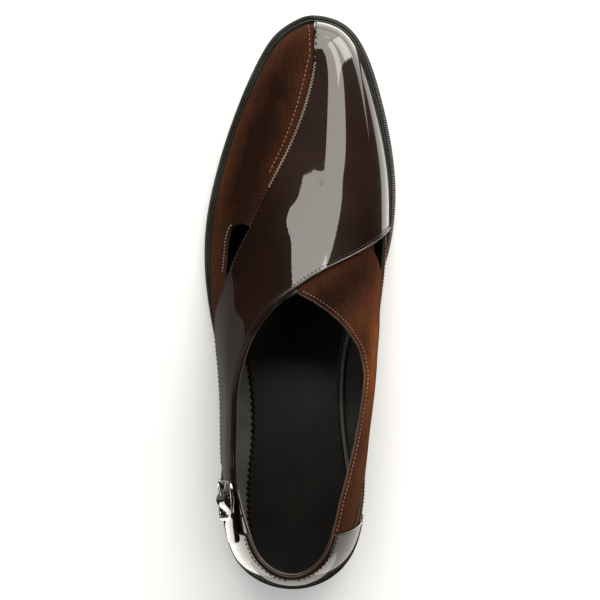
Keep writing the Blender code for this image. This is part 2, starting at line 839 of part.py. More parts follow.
def build_insole():
    run = np.linspace(0, 1, SOLE_STATIONS)
    values = cubic(LAST_KNOTS, LAST_VALUES, run)
    shell = Shell()
    rings = []
    for inset, height in INSOLE_SIDE:
        ring = []
        for side, name in enumerate(("lateral_foot", "medial_foot")):
            foot = values[..., LAST_COLUMNS.index(name)] + WALL + 2 * CLEARANCE
            flat = edge(run, foot + inset * INSOLE_THICKNESS)[0][side]
            ring.append(raised(flat, seat(flat[..., 1]) + CLEARANCE + height * INSOLE_THICKNESS))
        rings.append(ring)
    for one, two in zip(rings, rings[1:]):
        shell.strip(one[0], two[0])
        shell.strip(one[1], two[1])
    shell.strip(rings[0][0], rings[0][1])
    shell.strip(rings[-1][0], rings[-1][1])
    return shell.build("insole")


# buckle on the lateral side: run and around place it on the skin, away is a distance from the skin
BUCKLE_RUN = 0.1975
BUCKLE_AROUND = 0.197
BUCKLE_LENGTH = 0.0205
BUCKLE_HALF_AROUND = 0.062
BUCKLE_WIRE = 0.0010
BUCKLE_BAR = 0.0008
BUCKLE_BAR_AWAY = 0.0027
BUCKLE_CORNER = 5
BUCKLE_STEPS = 28
WIRE_SIDES = 8
BAR_POINTS = 7
PRONG_WIRE = 0.0007

# strap folded round the bar: where it lies on the skin before it, its two edges, and the turn of the fold
FOLD_THICKNESS = 0.0009
FOLD_RUNS = (0.1445, 0.156, 0.168, 0.179)
FOLD_LOW = 0.155
FOLD_HIGH = 0.238
FOLD_TURN = (-90, 205)
FOLD_STEPS = 13
FOLD_COLUMNS = 4

# hole for the prong, shares of BUCKLE_LENGTH behind and ahead of the bar
SLOT_HALF_AROUND = 0.0062
SLOT_BEHIND = 0.167
SLOT_AHEAD = 0.294
SLOT_STATIONS = 8
LENGTH_STEP = 0.01
# place of the buckle's wire along its length: share of half its length from the bar, and away
BUCKLE_AWAY = ((-1.0, 0.0043), (0.0, 0.0032), (1.0, 0.0031))


def skin_length():
    """Length along the skin for a whole run near the buckle."""
    ends = skin(np.array([BUCKLE_RUN - LENGTH_STEP, BUCKLE_RUN + LENGTH_STEP]), BUCKLE_AROUND, 0)
    return np.linalg.norm(ends[1] - ends[0]) / (2 * LENGTH_STEP)


def build_tube(name, centres, radius, closed=False):
    """Round wire along a line of points."""
    centres = np.asarray(centres)
    count = len(centres)
    if closed:
        tangent = np.roll(centres, -1, 0) - np.roll(centres, 1, 0)
    else:
        tangent = np.gradient(centres, axis=0)
    tangent /= np.linalg.norm(tangent, axis=1, keepdims=True)
    shell = Shell()
    side = np.cross(tangent[0], (0.0, 0.0, 1.0) if abs(tangent[0][2]) < 0.9 else (1.0, 0.0, 0.0))
    turn = np.linspace(0, 2 * np.pi, WIRE_SIDES + 1)
    turn[-1] = 0
    rings = []
    for i in range(count):
        side = side - tangent[i] * side.dot(tangent[i])
        side /= np.linalg.norm(side)
        other = np.cross(tangent[i], side)
        rings.append(centres[i] + radius * (np.cos(turn)[:, None] * side + np.sin(turn)[:, None] * other))
    if closed:
        # the frame comes back turned a little, so the rings are matched by their nearest point
        shift = np.argmin(np.linalg.norm(rings[0][:-1] - rings[-1][0], axis=1))
        first = np.roll(rings[0][:-1], -shift, 0)
        rings.append(np.concatenate([first, first[:1]]))
    for one, two in zip(rings, rings[1:]):
        shell.strip(one, two)
    if not closed:
        for ring, middle in ((rings[0], centres[0]), (rings[-1], centres[-1])):
            shell.strip(ring, np.repeat(middle[None], len(ring), 0))
    return shell.build(name)


def build_buckle():
    length = skin_length()
    turn = np.linspace(0, 2 * np.pi, BUCKLE_STEPS + 1)[:-1]
    power = 2 / BUCKLE_CORNER
    share = np.sign(np.cos(turn)) * np.abs(np.cos(turn)) ** power
    height = np.sign(np.sin(turn)) * np.abs(np.sin(turn)) ** power
    run = BUCKLE_RUN + share * (BUCKLE_LENGTH / 2 - BUCKLE_WIRE) / length
    around = BUCKLE_AROUND + height * BUCKLE_HALF_AROUND
    table = np.array(BUCKLE_AWAY)
    away = np.interp(share, table[:, 0], table[:, 1])
    frame = build_tube("buckle_frame", skin(run, around, away[:, None]), BUCKLE_WIRE, closed=True)
    bar_around = BUCKLE_AROUND + np.linspace(-1, 1, BAR_POINTS) * BUCKLE_HALF_AROUND
    bar = build_tube("buckle_bar", skin(BUCKLE_RUN, bar_around, BUCKLE_BAR_AWAY), BUCKLE_BAR)
    join(frame, bar)
    return frame


def build_fold():
    """Short strap from the counter, folded round the buckle's bar. Its path is drawn seen from above."""
    length = skin_length()
    radius = BUCKLE_BAR + CLEARANCE + FOLD_THICKNESS / 2
    lying = CLEARANCE + FACET_ALLOWANCE + FOLD_THICKNESS / 2
    turn = np.radians(np.linspace(*FOLD_TURN, FOLD_STEPS))
    loop = radius * np.stack([np.cos(turn), np.sin(turn)], 1) + (BUCKLE_RUN * length, BUCKLE_BAR_AWAY)
    start = np.array([[run * length, lying] for run in FOLD_RUNS])
    path = np.concatenate([start, loop])
    tangent = np.gradient(path, axis=0)
    tangent /= np.linalg.norm(tangent, axis=1, keepdims=True)
    side = np.stack([tangent[:, 1], -tangent[:, 0]], 1) * FOLD_THICKNESS / 2
    around = np.linspace(FOLD_LOW, FOLD_HIGH, FOLD_COLUMNS + 1)[None, :]
    shell = Shell()
    faces = []
    for sign in (1, -1):
        line_points = path + sign * side
        faces.append(skin(line_points[:, :1] / length, around, line_points[:, 1][:, None, None]))
    shell.box(*faces)
    return shell.build("buckle_strap")


def build_prong():
    length = skin_length()
    radius = BUCKLE_BAR + CLEARANCE + PRONG_WIRE
    turn = np.radians(np.linspace(250, 80, 9))
    loop = np.stack([radius * np.cos(turn), radius * np.sin(turn)], 1)
    reach = BUCKLE_LENGTH / 2 - BUCKLE_WIRE
    rest_away = BUCKLE_AWAY[-1][1] - BUCKLE_BAR_AWAY + BUCKLE_WIRE + CLEARANCE + PRONG_WIRE
    tip = np.array([[reach / 2, (radius + rest_away) / 2], [reach, rest_away], [reach + PRONG_WIRE, rest_away]])
    path = np.concatenate([loop, tip])
    points = skin(BUCKLE_RUN + path[:, 0] / length, BUCKLE_AROUND, (BUCKLE_BAR_AWAY + path[:, 1])[:, None])
    return build_tube("buckle_prong", points, PRONG_WIRE)


def build_slot():
    """Cutter for the hole that the prong passes through."""
    shell = Shell()
    ends = np.array([-SLOT_BEHIND, SLOT_AHEAD]) * BUCKLE_LENGTH / skin_length()
    run = BUCKLE_RUN + np.linspace(*ends, SLOT_STATIONS)[:, None]
    around = BUCKLE_AROUND + np.array([[-1.0, 1.0]]) * SLOT_HALF_AROUND
    low = skin(run, around, BUCKLE_BAR_AWAY - 3 * BUCKLE_BAR + CLEARANCE)
    high = skin(run, around, BUCKLE_BAR_AWAY * 3)
    shell.box(low, high)
    cutter = shell.build("prong_slot")
    cutter.hide_render = True
    cutter.display_type = "WIRE"
    return cutter


def cut(target, cutter):
    step = target.modifiers.new("cut_" + cutter.name, "BOOLEAN")
    step.operation = "DIFFERENCE"
    step.solver = "EXACT"
    step.object = cutter


# colour, roughness, metallic and coat of each piece
FINISHES = {
    "upper": ((0.070, 0.026, 0.012), 0.95, 0.0, 0.0),
    "cross_panel": ((0.018, 0.010, 0.007), 0.12, 0.0, 1.0),
    "heel_counter": ((0.020, 0.012, 0.009), 0.12, 0.0, 1.0),
    "buckle_strap": ((0.022, 0.011, 0.008), 0.20, 0.0, 0.8),
    "buckle_frame": ((0.800, 0.800, 0.790), 0.18, 1.0, 0.0),
    "buckle_prong": ((0.800, 0.800, 0.790), 0.18, 1.0, 0.0),
    "outsole": ((0.012, 0.012, 0.012), 0.60, 0.0, 0.0),
    "insole": ((0.014, 0.014, 0.013), 0.45, 0.0, 0.0),
}


def give_finish(thing):
    colour, roughness, metallic, coat = FINISHES[thing.name]
    material = bpy.data.materials.new(thing.name)
    material.use_nodes = True
    shader = material.node_tree.nodes["Principled BSDF"]
    shader.inputs["Base Color"].default_value = (*colour, 1)
    shader.inputs["Roughness"].default_value = roughness
    shader.inputs["Metallic"].default_value = metallic
    shader.inputs["Coat Weight"].default_value = coat
    thing.data.materials.append(material)


upper = build_upper()
panel = build_panel()
counter = build_counter()
outsole = build_sole_plate()
join(outsole, build_heel_block())
join(outsole, build_pads())
insole = build_insole()
buckle = build_buckle()
fold = build_fold()
prong = build_prong()
slot = build_slot()
cut(panel, slot)
cut(fold, slot)
for thing in (upper, panel, counter, outsole, insole, buckle, fold, prong):
    give_finish(thing)
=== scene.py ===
import math
import bpy
import bmesh
import numpy as np
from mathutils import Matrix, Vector


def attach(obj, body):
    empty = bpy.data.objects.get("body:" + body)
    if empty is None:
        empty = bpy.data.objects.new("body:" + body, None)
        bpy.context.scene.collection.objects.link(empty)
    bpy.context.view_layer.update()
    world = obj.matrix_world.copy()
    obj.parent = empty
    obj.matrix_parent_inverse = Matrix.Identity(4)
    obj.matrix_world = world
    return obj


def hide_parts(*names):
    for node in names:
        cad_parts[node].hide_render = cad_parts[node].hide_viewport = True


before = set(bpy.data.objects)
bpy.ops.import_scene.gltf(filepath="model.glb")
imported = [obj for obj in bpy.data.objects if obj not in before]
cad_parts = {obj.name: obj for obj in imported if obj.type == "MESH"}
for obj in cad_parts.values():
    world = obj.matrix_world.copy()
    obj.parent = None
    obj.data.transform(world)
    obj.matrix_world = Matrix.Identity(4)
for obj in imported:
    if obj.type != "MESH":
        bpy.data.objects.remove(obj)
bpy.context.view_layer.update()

# the last: every leather piece is laid on it, so change the shoe's shape here
last = {
    "soleLength": 0.3,
    "ballWidth": 0.101,
    "instepHeight": 0.073,
    "heelHeight": 0.027,
    "toeSpring": 0.01,
    "soleThickness": 0.009,
    "wall": 0.0019,
    "gap": 0.0003,
    # the crest's slope is read between these runs
    "slopeRange": (0.04, 0.96),
    # along, lateral and medial distance from the long axis, heel to toe
    "outline": [
        (0.0, 0.035, -0.035), (0.016, 0.223, 0.149), (0.05, 0.335, 0.257), (0.1, 0.388, 0.313),
        (0.16, 0.409, 0.325), (0.22, 0.402, 0.301), (0.28, 0.387, 0.274), (0.34, 0.392, 0.267),
        (0.4, 0.422, 0.283), (0.46, 0.461, 0.332), (0.52, 0.489, 0.401), (0.58, 0.5, 0.463),
        (0.64, 0.489, 0.495), (0.7, 0.456, 0.502), (0.76, 0.408, 0.486), (0.82, 0.348, 0.453),
        (0.88, 0.276, 0.407), (0.93, 0.203, 0.354), (0.97, 0.117, 0.282), (0.992, 0.019, 0.19),
        (1.0, -0.072, 0.072),
    ],
    # along, arch, spring, thickness of the sole
    "profile": [
        (0.0, 0.715, 0.0, 0.89), (0.15, 0.7, 0.0, 0.89), (0.25, 0.64, 0.0, 0.9), (0.33, 0.51, 0.0, 0.92),
        (0.41, 0.275, 0.0, 0.95), (0.48, 0.07, 0.0, 0.98), (0.54, -0.02, 0.0, 1.0),
        (0.62, -0.025, -0.02, 1.0), (0.7, 0.0, -0.03, 1.0), (0.78, 0.0, 0.13, 0.98), (0.86, 0.0, 0.39, 0.96),
        (0.94, 0.0, 0.73, 0.95), (1.0, 0.0, 1.0, 0.95),
    ],
    # along, where the crest stands, its side, its height
    "crest": [
        (0.0, 0.085, -0.044, 1.35), (0.06, 0.12, -0.044, 1.35), (0.15, 0.175, -0.042, 1.35),
        (0.25, 0.258, -0.032, 1.34), (0.35, 0.35, -0.016, 1.28), (0.45, 0.45, 0.004, 1.155),
        (0.55, 0.55, 0.025, 0.918), (0.65, 0.645, 0.044, 0.752), (0.75, 0.738, 0.06, 0.655),
        (0.85, 0.825, 0.069, 0.588), (0.94, 0.895, 0.072, 0.54), (1.0, 0.925, 0.072, 0.527),
    ],
    # foot inset, wall, bulge, roof of each half section, same stations as the crest
    "lateral": [
        (0.03, 0.42, 0.04, 0.72), (0.03, 0.42, 0.038, 0.7), (0.028, 0.42, 0.026, 0.73),
        (0.018, 0.42, 0.078, 0.76), (0.016, 0.42, 0.098, 0.72), (0.024, 0.43, 0.069, 0.6),
        (0.032, 0.42, 0.04, 0.5), (0.036, 0.42, 0.03, 0.48), (0.036, 0.5, 0.025, 0.5),
        (0.038, 0.6, 0.02, 0.52), (0.044, 0.7, 0.015, 0.55), (0.051, 0.75, 0.01, 0.55),
    ],
    "medial": [
        (0.03, 0.42, 0.04, 0.72), (0.03, 0.42, 0.05, 0.71), (0.028, 0.42, 0.095, 0.76),
        (0.018, 0.42, 0.215, 0.8), (0.016, 0.49, 0.29, 0.79), (0.024, 0.51, 0.27, 0.69),
        (0.042, 0.48, 0.16, 0.55), (0.053, 0.5, 0.059, 0.5), (0.055, 0.55, 0.03, 0.5),
        (0.055, 0.62, 0.02, 0.52), (0.053, 0.7, 0.015, 0.55), (0.051, 0.75, 0.01, 0.55),
    ],
}


def cubicThrough(knots, values, at):
    # smooth curve through all knots, free at both ends
    step = np.diff(knots)
    count = len(knots)
    system = np.eye(count)
    right = np.zeros(values.shape)
    for i in range(1, count - 1):
        system[i, i - 1:i + 2] = (step[i - 1], 2 * (step[i - 1] + step[i]), step[i])
        right[i] = 6 * ((values[i + 1] - values[i]) / step[i] - (values[i] - values[i - 1]) / step[i - 1])
    bend = np.linalg.solve(system, right)
    i = np.clip(np.searchsorted(knots, at) - 1, 0, count - 2)
    length = step[i][..., None]
    ahead = (at - knots[i])[..., None] / length
    behind = 1 - ahead
    return (behind * values[i] + ahead * values[i + 1]
            + (behind ** 3 - behind) * bend[i] * length ** 2 / 6
            + (ahead ** 3 - ahead) * bend[i + 1] * length ** 2 / 6)


def easeThrough(rows, at, value=1):
    # through the rows without swinging past them
    rows = np.array(rows, float)
    knots, values = rows[:, 0], rows[:, value]
    step = np.diff(knots)
    rise = np.diff(values) / step
    slope = np.zeros(len(knots))
    same = rise[1:] * rise[:-1] > 0
    one, two = 2 * step[1:] + step[:-1], step[1:] + 2 * step[:-1]
    mean = (one + two) / (one / np.where(same, rise[:-1], 1) + two / np.where(same, rise[1:], 1))
    slope[1:-1] = np.where(same, mean, 0)
    i = np.clip(np.searchsorted(knots, at) - 1, 0, len(step) - 1)
    t = np.clip((at - knots[i]) / step[i], 0, 1)
    return (values[i] * (1 + 2 * t) * (1 - t) ** 2 + values[i + 1] * t ** 2 * (3 - 2 * t)
            + step[i] * t * (1 - t) * (slope[i] * (1 - t) - slope[i + 1] * t))


def carriedRound(knots, values, swap):
    # past the heel and the toe the two sides change places
    extra = 4
    before = values[1:extra + 1][::-1][:, swap]
    after = values[-extra - 1:-1][::-1][:, swap]
    ends = 2 * knots[-1] - knots[-extra - 1:-1][::-1]
    return np.concatenate([-knots[1:extra + 1][::-1], knots, ends]), np.concatenate([before, values, after])


outlineRows = np.array(last["outline"]) * (last["soleLength"], -last["ballWidth"], last["ballWidth"])
chord = sum(np.linalg.norm(np.diff(outlineRows[:, [side, 0]], axis=0), axis=1) for side in (1, 2))
outlineRun = np.concatenate([[0], np.cumsum(chord) / chord.sum()])
alongRows = np.array(last["outline"])[:, 0]
outlineKnots, outlineValues = carriedRound(outlineRun, outlineRows, [0, 2, 1])

lastScale = (last["soleLength"], last["ballWidth"], last["instepHeight"])
halfScale = (last["ballWidth"], 1, last["ballWidth"], 1)
crestAlong = np.array(last["crest"])[:, 0]
lastRows = np.concatenate([np.array(last["crest"])[:, 1:] * lastScale, np.array(last["lateral"]) * halfScale,
                           np.array(last["medial"]) * halfScale], axis=1)
crestRun = np.interp(crestAlong, alongRows, outlineRun)
lastKnots, lastValues = carriedRound(crestRun, lastRows, [0, 1, 2, 7, 8, 9, 10, 3, 4, 5, 6])
profileRows = np.array(last["profile"])
profileAlong = profileRows[:, 0] * last["soleLength"]
underRows = (profileRows[:, 1:3] @ (last["heelHeight"], last["toeSpring"]))[:, None]


def ground(y):
    return np.maximum(cubicThrough(profileAlong, underRows, np.clip(y, 0, last["soleLength"]))[..., 0], 0)


def seat(y):
    return ground(y) + np.interp(y, profileAlong, profileRows[:, 3] * last["soleThickness"])


def edgeOf(run, inset, side):
    # side 0 is the outer side of the foot, 1 the inner side
    pick, turn, nudge = [side + 1, 0], (-1, 1)[side], 1e-4
    here, ahead, behind = (cubicThrough(outlineKnots, outlineValues, run + move)[..., pick]
                           for move in (0, nudge, -nudge))
    way = ahead - behind
    way /= np.linalg.norm(way, axis=-1, keepdims=True)
    out = np.stack([way[..., 1], -way[..., 0]], axis=-1) * turn
    return here - out * np.asarray(inset)[..., None], out


def section(run, around):
    # one point of the last's own surface: around is 0 at the outer foot, 0.5 at the crest, 1 at the inner foot
    values = cubicThrough(lastKnots, lastValues, run)
    crest = np.stack([values[..., 1], values[..., 0], values[..., 2]], axis=-1)
    inner, step = np.clip(run, *last["slopeRange"]), 1e-3
    rise = cubicThrough(lastKnots, lastValues, inner + step) - cubicThrough(lastKnots, lastValues, inner - step)
    slope = rise[..., 2] / rise[..., 0]
    outer = around < 0.5
    inset, wall, bulge, roof = (np.where(outer, values[..., 3 + i], values[..., 7 + i]) for i in range(4))
    one, oneOut = edgeOf(run, inset, 0)
    two, twoOut = edgeOf(run, inset, 1)
    flat = np.where(outer[..., None], one, two)
    out = np.where(outer[..., None], oneOut, twoOut)
    foot = np.concatenate([flat, (seat(flat[..., 1]) + last["gap"])[..., None]], axis=-1)
    up = np.zeros(foot.shape)
    up[..., 2] = wall * (crest[..., 2] - foot[..., 2])
    lean = np.concatenate([out, np.zeros(out[..., :1].shape)], axis=-1) * bulge[..., None]
    reach = (foot - crest) * roof[..., None]
    reach[..., 2] = slope * reach[..., 1]
    share = np.where(outer, 2 * around, 2 * (1 - around))[..., None]
    rest = 1 - share
    return (rest ** 3 * foot + 3 * rest ** 2 * share * (foot + up + lean)
            + 3 * rest * share ** 2 * (crest + reach) + share ** 3 * crest)


middleRun = np.linspace(0, 1, 400)
middlePoints = np.concatenate([edgeOf(middleRun, 0 * middleRun, side)[0] for side in (0, 1)])
soleMiddle = np.append((middlePoints.min(0) + middlePoints.max(0)) / 2, 0)

# rough metres for the whole run and for once around, where the exact length doesn't matter
runMetres, aroundMetres = 0.325, 0.17

# soft troughs and ridges of the worn-in leather
# run and around of the middle, metres along and across the fold, turn in degrees, height (below 0 is a trough)
creases = {
    "upper": [
        (0.56, 0.3, 0.016, 0.0035, 20, -0.0005), (0.59, 0.255, 0.014, 0.003, 25, -0.0004),
        (0.405, 0.7, 0.022, 0.004, 75, -0.0006), (0.43, 0.665, 0.018, 0.0035, 70, 0.0004),
        (0.3, 0.8, 0.03, 0.0045, 5, -0.0005), (0.47, 0.78, 0.024, 0.0045, 60, -0.0006),
        (0.2, 0.76, 0.02, 0.004, 80, -0.0004), (0.345, 0.83, 0.03, 0.004, 3, 0.0004),
        (0.66, 0.23, 0.018, 0.0045, 35, -0.0004), (0.76, 0.27, 0.022, 0.005, 30, -0.0003),
        (0.41, 0.82, 0.042, 0.014, 0, 0.0026),
    ],
    "panel": [
        (0.655, 0.56, 0.03, 0.009, 78, -0.00022), (0.625, 0.6, 0.028, 0.008, 74, 0.00014),
        (0.69, 0.7, 0.024, 0.008, 70, -0.00018), (0.61, 0.44, 0.022, 0.007, 84, -0.00022),
        (0.46, 0.28, 0.022, 0.006, 18, -0.0003), (0.42, 0.215, 0.026, 0.0055, 8, 0.0003),
        (0.35, 0.19, 0.03, 0.005, 3, -0.0003), (0.285, 0.205, 0.024, 0.0045, 5, 0.0002),
        (0.56, 0.38, 0.024, 0.007, 40, -0.0002),
    ],
}


def creaseHeight(run, around, rows):
    total = np.zeros(np.broadcast(run, around).shape)
    for atRun, atAround, length, width, turn, height in rows:
        along = (run - atRun) * runMetres
        across = (around - atAround) * aroundMetres
        c, s = math.cos(math.radians(turn)), math.sin(math.radians(turn))
        lengthwise, sideways = c * along + s * across, c * across - s * along
        total = total + height * np.exp(-(lengthwise / length) ** 2 - (sideways / width) ** 2)
    return total


def change(run, around, runStep, aroundStep):
    # how the last moves between two places close together
    return section(run + runStep, around + aroundStep) - section(run - runStep, around - aroundStep)


def skin(run, around, away, rows=()):
    # a point on the last, moved off it by away
    run, around = np.broadcast_arrays(np.asarray(run, float), np.asarray(around, float))
    step = 1e-3
    normal = np.cross(change(run, around, 0, step), change(run, around, step, 0))
    normal /= np.linalg.norm(normal, axis=-1, keepdims=True)
    away = np.asarray(away, float) + creaseHeight(run, around, rows)
    return section(run, around) + normal * away[..., None] - soleMiddle


def roundLength(run, around):
    # metres for once around, at a place; the feet themselves have no length to read
    around, step = np.clip(around, 0.003, 0.997), 2e-3
    return np.linalg.norm(change(run, around, 0, step), axis=-1) / (2 * step)


def runLength(run, around):
    step = 1e-3
    return np.linalg.norm(change(run, around, step, 0), axis=-1) / (2 * step)


class Piece:
    # gathers grids of points into one mesh, with a UV in metres for the seams and grain

    def __init__(self):
        self.points, self.faces, self.uvs, self.slots, self.tones = [], [], [], [], []
        self.count = 0

    def grid(self, points, u=None, slot=0, tone=0.0):
        rows, columns = points.shape[:2]
        if u is None:
            along = np.linalg.norm(np.diff(points, axis=0), axis=-1)
            u = np.concatenate([np.zeros((1, columns)), np.cumsum(along, axis=0)]).mean(1, keepdims=True)
        across = np.linalg.norm(np.diff(points, axis=1), axis=-1)
        v = np.concatenate([np.zeros((rows, 1)), np.cumsum(across, axis=1)], axis=1)
        index = self.count + np.arange(rows * columns).reshape(rows, columns)
        corners = np.stack([index[:-1, :-1], index[1:, :-1], index[1:, 1:], index[:-1, 1:]], -1).reshape(-1, 4)
        self.points.append(points.reshape(-1, 3))
        self.faces.append(corners)
        self.uvs.append(np.stack(np.broadcast_arrays(u, v), -1).reshape(-1, 2))
        self.tones.append(np.broadcast_to(tone, (rows, columns)).reshape(-1))
        self.slots.append(np.full(len(corners), slot))
        self.count += rows * columns

    def strip(self, one, two, slot=0):
        self.grid(np.stack([one, two], 1), slot=slot)

    def build(self, name, materials, replaced=()):
        weld = 2e-6
        points, faces = np.concatenate(self.points), np.concatenate(self.faces)
        mesh = bpy.data.meshes.new(name)
        mesh.from_pydata(points.tolist(), [], faces.tolist())
        layer = mesh.uv_layers.new(name="lengths")
        layer.data.foreach_set("uv", np.concatenate(self.uvs)[faces.reshape(-1)].astype(np.float32).reshape(-1))
        mesh.polygons.foreach_set("material_index", np.concatenate(self.slots).astype(np.int32))
        # the tone of each point; the suede's is its painted light and shade, other pieces have none
        tone = mesh.attributes.new("tone", "FLOAT", "POINT")
        tone.data.foreach_set("value", np.concatenate(self.tones).astype(np.float32))
        work = bmesh.new()
        work.from_mesh(mesh)
        bmesh.ops.remove_doubles(work, verts=work.verts, dist=weld)
        bmesh.ops.recalc_face_normals(work, faces=work.faces)
        work.to_mesh(mesh)
        work.free()
        mesh.polygons.foreach_set("use_smooth", [True] * len(mesh.polygons))
        for material in materials:
            mesh.materials.append(material)
        thing = bpy.data.objects.new(name, mesh)
        bpy.context.scene.collection.objects.link(thing)
        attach(thing, "root")
        if replaced:
            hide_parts(*replaced)
        print(name, len(mesh.polygons), "faces")


# places across a rounded edge, shares of its radius; it takes at most edgeShare of a narrow band
edgeSteps = np.array([0.0, 0.06, 0.18, 0.36, 0.62, 1.0])
edgeShare = 0.45


def columnsAcross(low, high, lengths, radius, middle):
    # columns between two lines, crowded at both edges where the leather turns over, and how far it has risen
    width = high - low
    turn = np.minimum(radius / lengths, np.abs(width) * edgeShare) * np.sign(width)
    near = low[:, None] + turn[:, None] * edgeSteps
    far = high[:, None] - turn[:, None] * edgeSteps[::-1]
    share = np.linspace(0, 1, middle + 2)[1:-1]
    between = (low + turn)[:, None] + (width - 2 * turn)[:, None] * share
    risen = np.sqrt(1 - (1 - edgeSteps) ** 2)
    rise = np.concatenate([risen, np.ones(middle), risen[::-1]])
    return np.concatenate([near, between, far], 1), rise


def closeRows(rows, start, end):
    # extra rows near both cut ends, shares of the run
    return np.unique(np.round(np.concatenate([rows, rows[0] + start * edgeSteps, rows[-1] - end * edgeSteps]), 7))


def feed(node, key, value):
    # a socket is linked, a plain value is set as it is
    if isinstance(value, bpy.types.NodeSocket):
        node.id_data.links.new(value, node.inputs[key])
    else:
        node.inputs[key].default_value = value


def nodesOf(name, values):
    # a new material, with the even values set on its shader
    material = bpy.data.materials.new(name)
    material.use_nodes = True
    shader = material.node_tree.nodes["Principled BSDF"]
    for key, value in values.items():
        feed(shader, key, value)
    return material, material.node_tree, shader


def add(tree, kind, **settings):
    node = tree.nodes.new(kind)
    for key, value in settings.items():
        if key in node.inputs:
            feed(node, key, value)
        else:
            setattr(node, key, value)
    return node


def multiplyColours(tree, one, two):
    node = add(tree, "ShaderNodeMix", data_type="RGBA", blend_type="MULTIPLY")
    for key, value in ((0, 1.0), (6, one), (7, two)):
        feed(node, key, value)
    return node.outputs[2]


def calculate(tree, operation, *values):
    node = add(tree, "ShaderNodeMath", operation=operation)
    for i, value in enumerate(values):
        feed(node, i, value)
    return node.outputs[0]


def objectPlace(tree):
    return (tree.nodes.get("Texture Coordinate") or add(tree, "ShaderNodeTexCoord")).outputs["Object"]


def noise(tree, scale, detail, roughness, vector=None):
    return add(tree, "ShaderNodeTexNoise", Vector=vector or objectPlace(tree), Scale=scale, Detail=detail,
               Roughness=roughness).outputs["Fac"]


def stretched(tree, x, y, z):
    return add(tree, "ShaderNodeMapping", Vector=objectPlace(tree), Scale=(x, y, z)).outputs["Vector"]


def ramp(tree, value, stops):
    node = add(tree, "ShaderNodeValToRGB")
    marks = node.color_ramp.elements
    while len(marks) < len(stops):
        marks.new(0.5)
    for mark, (place, colour) in zip(marks, stops):
        mark.position = place
        mark.color = (*colour, 1)
    feed(node, "Fac", value)
    return node.outputs["Color"]


def bump(tree, height, distance, strength):
    return add(tree, "ShaderNodeBump", Height=height, Distance=distance, Strength=strength).outputs["Normal"]


def splitUp(tree, vector):
    node = add(tree, "ShaderNodeSeparateXYZ", Vector=vector)
    return node.outputs["X"], node.outputs["Y"]


# patches of painted light and painted shade on the suede: lighter where light falls on it, darker where it lies
# in shade run and around of the middle, metres along and across, turn in degrees, how much painted light (below 0
# is painted shade)
suedePaintedShading = [
    (0.86, 0.3, 0.07, 0.02, 8, -0.17), (0.74, 0.25, 0.06, 0.018, 10, -0.17),
    (0.64, 0.24, 0.03, 0.014, 20, -0.08), (0.8, 0.08, 0.06, 0.006, 5, 0.05),
    (0.64, 0.11, 0.05, 0.009, 8, 0.08), (0.56, 0.13, 0.03, 0.008, 5, 0.05),
    (0.95, 0.28, 0.024, 0.016, 60, 0.13), (0.43, 0.8, 0.034, 0.006, 5, 0.34),
    (0.5, 0.76, 0.026, 0.009, 40, 0.08), (0.33, 0.83, 0.04, 0.006, 3, 0.16),
    (0.5, 0.6, 0.024, 0.01, 56, -0.33), (0.2, 0.78, 0.03, 0.007, 5, 0.1),
    (0.56, 0.74, 0.016, 0.008, 50, -0.1),
]

suedeLook = {
    "colours": [
        (0.2, (0.011, 0.0046, 0.003)), (0.48, (0.036, 0.013, 0.006)),
        (0.74, (0.092, 0.029, 0.0085)), (0.98, (0.2, 0.064, 0.016)),
    ],
    "speck": [(0.3, (0.55, 0.5, 0.48)), (0.7, (1.25, 1.2, 1.15))],
    # shares of cloud and brush marks in the tone, over its base
    "base": 0.215, "cloud": 0.3, "brush": 0.22,
    "nap": (0.00022, 0.9),
    "shader": {"Roughness": 0.93, "Specular IOR Level": 0.02, "Sheen Weight": 0.008, "Sheen Roughness": 0.45,
               "Sheen Tint": (0.75, 0.42, 0.25, 1)},
}


def suedeMaterial(look):
    material, tree, shader = nodesOf("suede", look["shader"])
    cloud = noise(tree, 38, 5, 0.62)
    grain = noise(tree, 900, 3, 0.7)
    brushed = noise(tree, 1, 4, 0.6, stretched(tree, 260, 60, 200))
    # painted light and shade from the tone attribute: lighter where light falls on the suede, darker in its shade
    paintedShading = add(tree, "ShaderNodeAttribute", attribute_name="tone").outputs["Fac"]
    tone = calculate(tree, "ADD", calculate(tree, "MULTIPLY", cloud, look["cloud"]),
                     calculate(tree, "MULTIPLY", brushed, look["brush"]))
    tone = calculate(tree, "ADD", calculate(tree, "ADD", tone, look["base"]), paintedShading)
    colour = multiplyColours(tree, ramp(tree, tone, look["colours"]), ramp(tree, grain, look["speck"]))
    feed(shader, "Base Color", colour)
    height = calculate(tree, "ADD", grain, calculate(tree, "MULTIPLY", brushed, 0.8))
    feed(shader, "Normal", bump(tree, height, *look["nap"]))
    return material


patentLook = {
    "colours": [(0.35, (0.0074, 0.003, 0.0019)), (0.7, (0.014, 0.0058, 0.0034))],
    # a little dust makes the gloss duller in spots
    "dust": {"From Min": 0.45, "From Max": 0.85, "To Min": 0.02, "To Max": 0.08},
    "waves": (0.00017, 0.35), "fineWaves": 0.05,
    "shader": {"Roughness": 0.41, "Specular IOR Level": 0.04, "Coat Weight": 1.0, "Coat IOR": 1.52},
}


def patentMaterial(look):
    material, tree, shader = nodesOf("patent", look["shader"])
    feed(shader, "Base Color", ramp(tree, noise(tree, 22, 3, 0.5), look["colours"]))
    rough = add(tree, "ShaderNodeMapRange", Value=noise(tree, 160, 6, 0.7), **look["dust"])
    feed(shader, "Coat Roughness", rough.outputs["Result"])
    fine = calculate(tree, "MULTIPLY", noise(tree, 260, 2, 0.5), look["fineWaves"])
    normal = bump(tree, calculate(tree, "ADD", noise(tree, 42, 2, 0.4), fine), *look["waves"])
    feed(shader, "Coat Normal", normal)
    feed(shader, "Normal", normal)
    return material


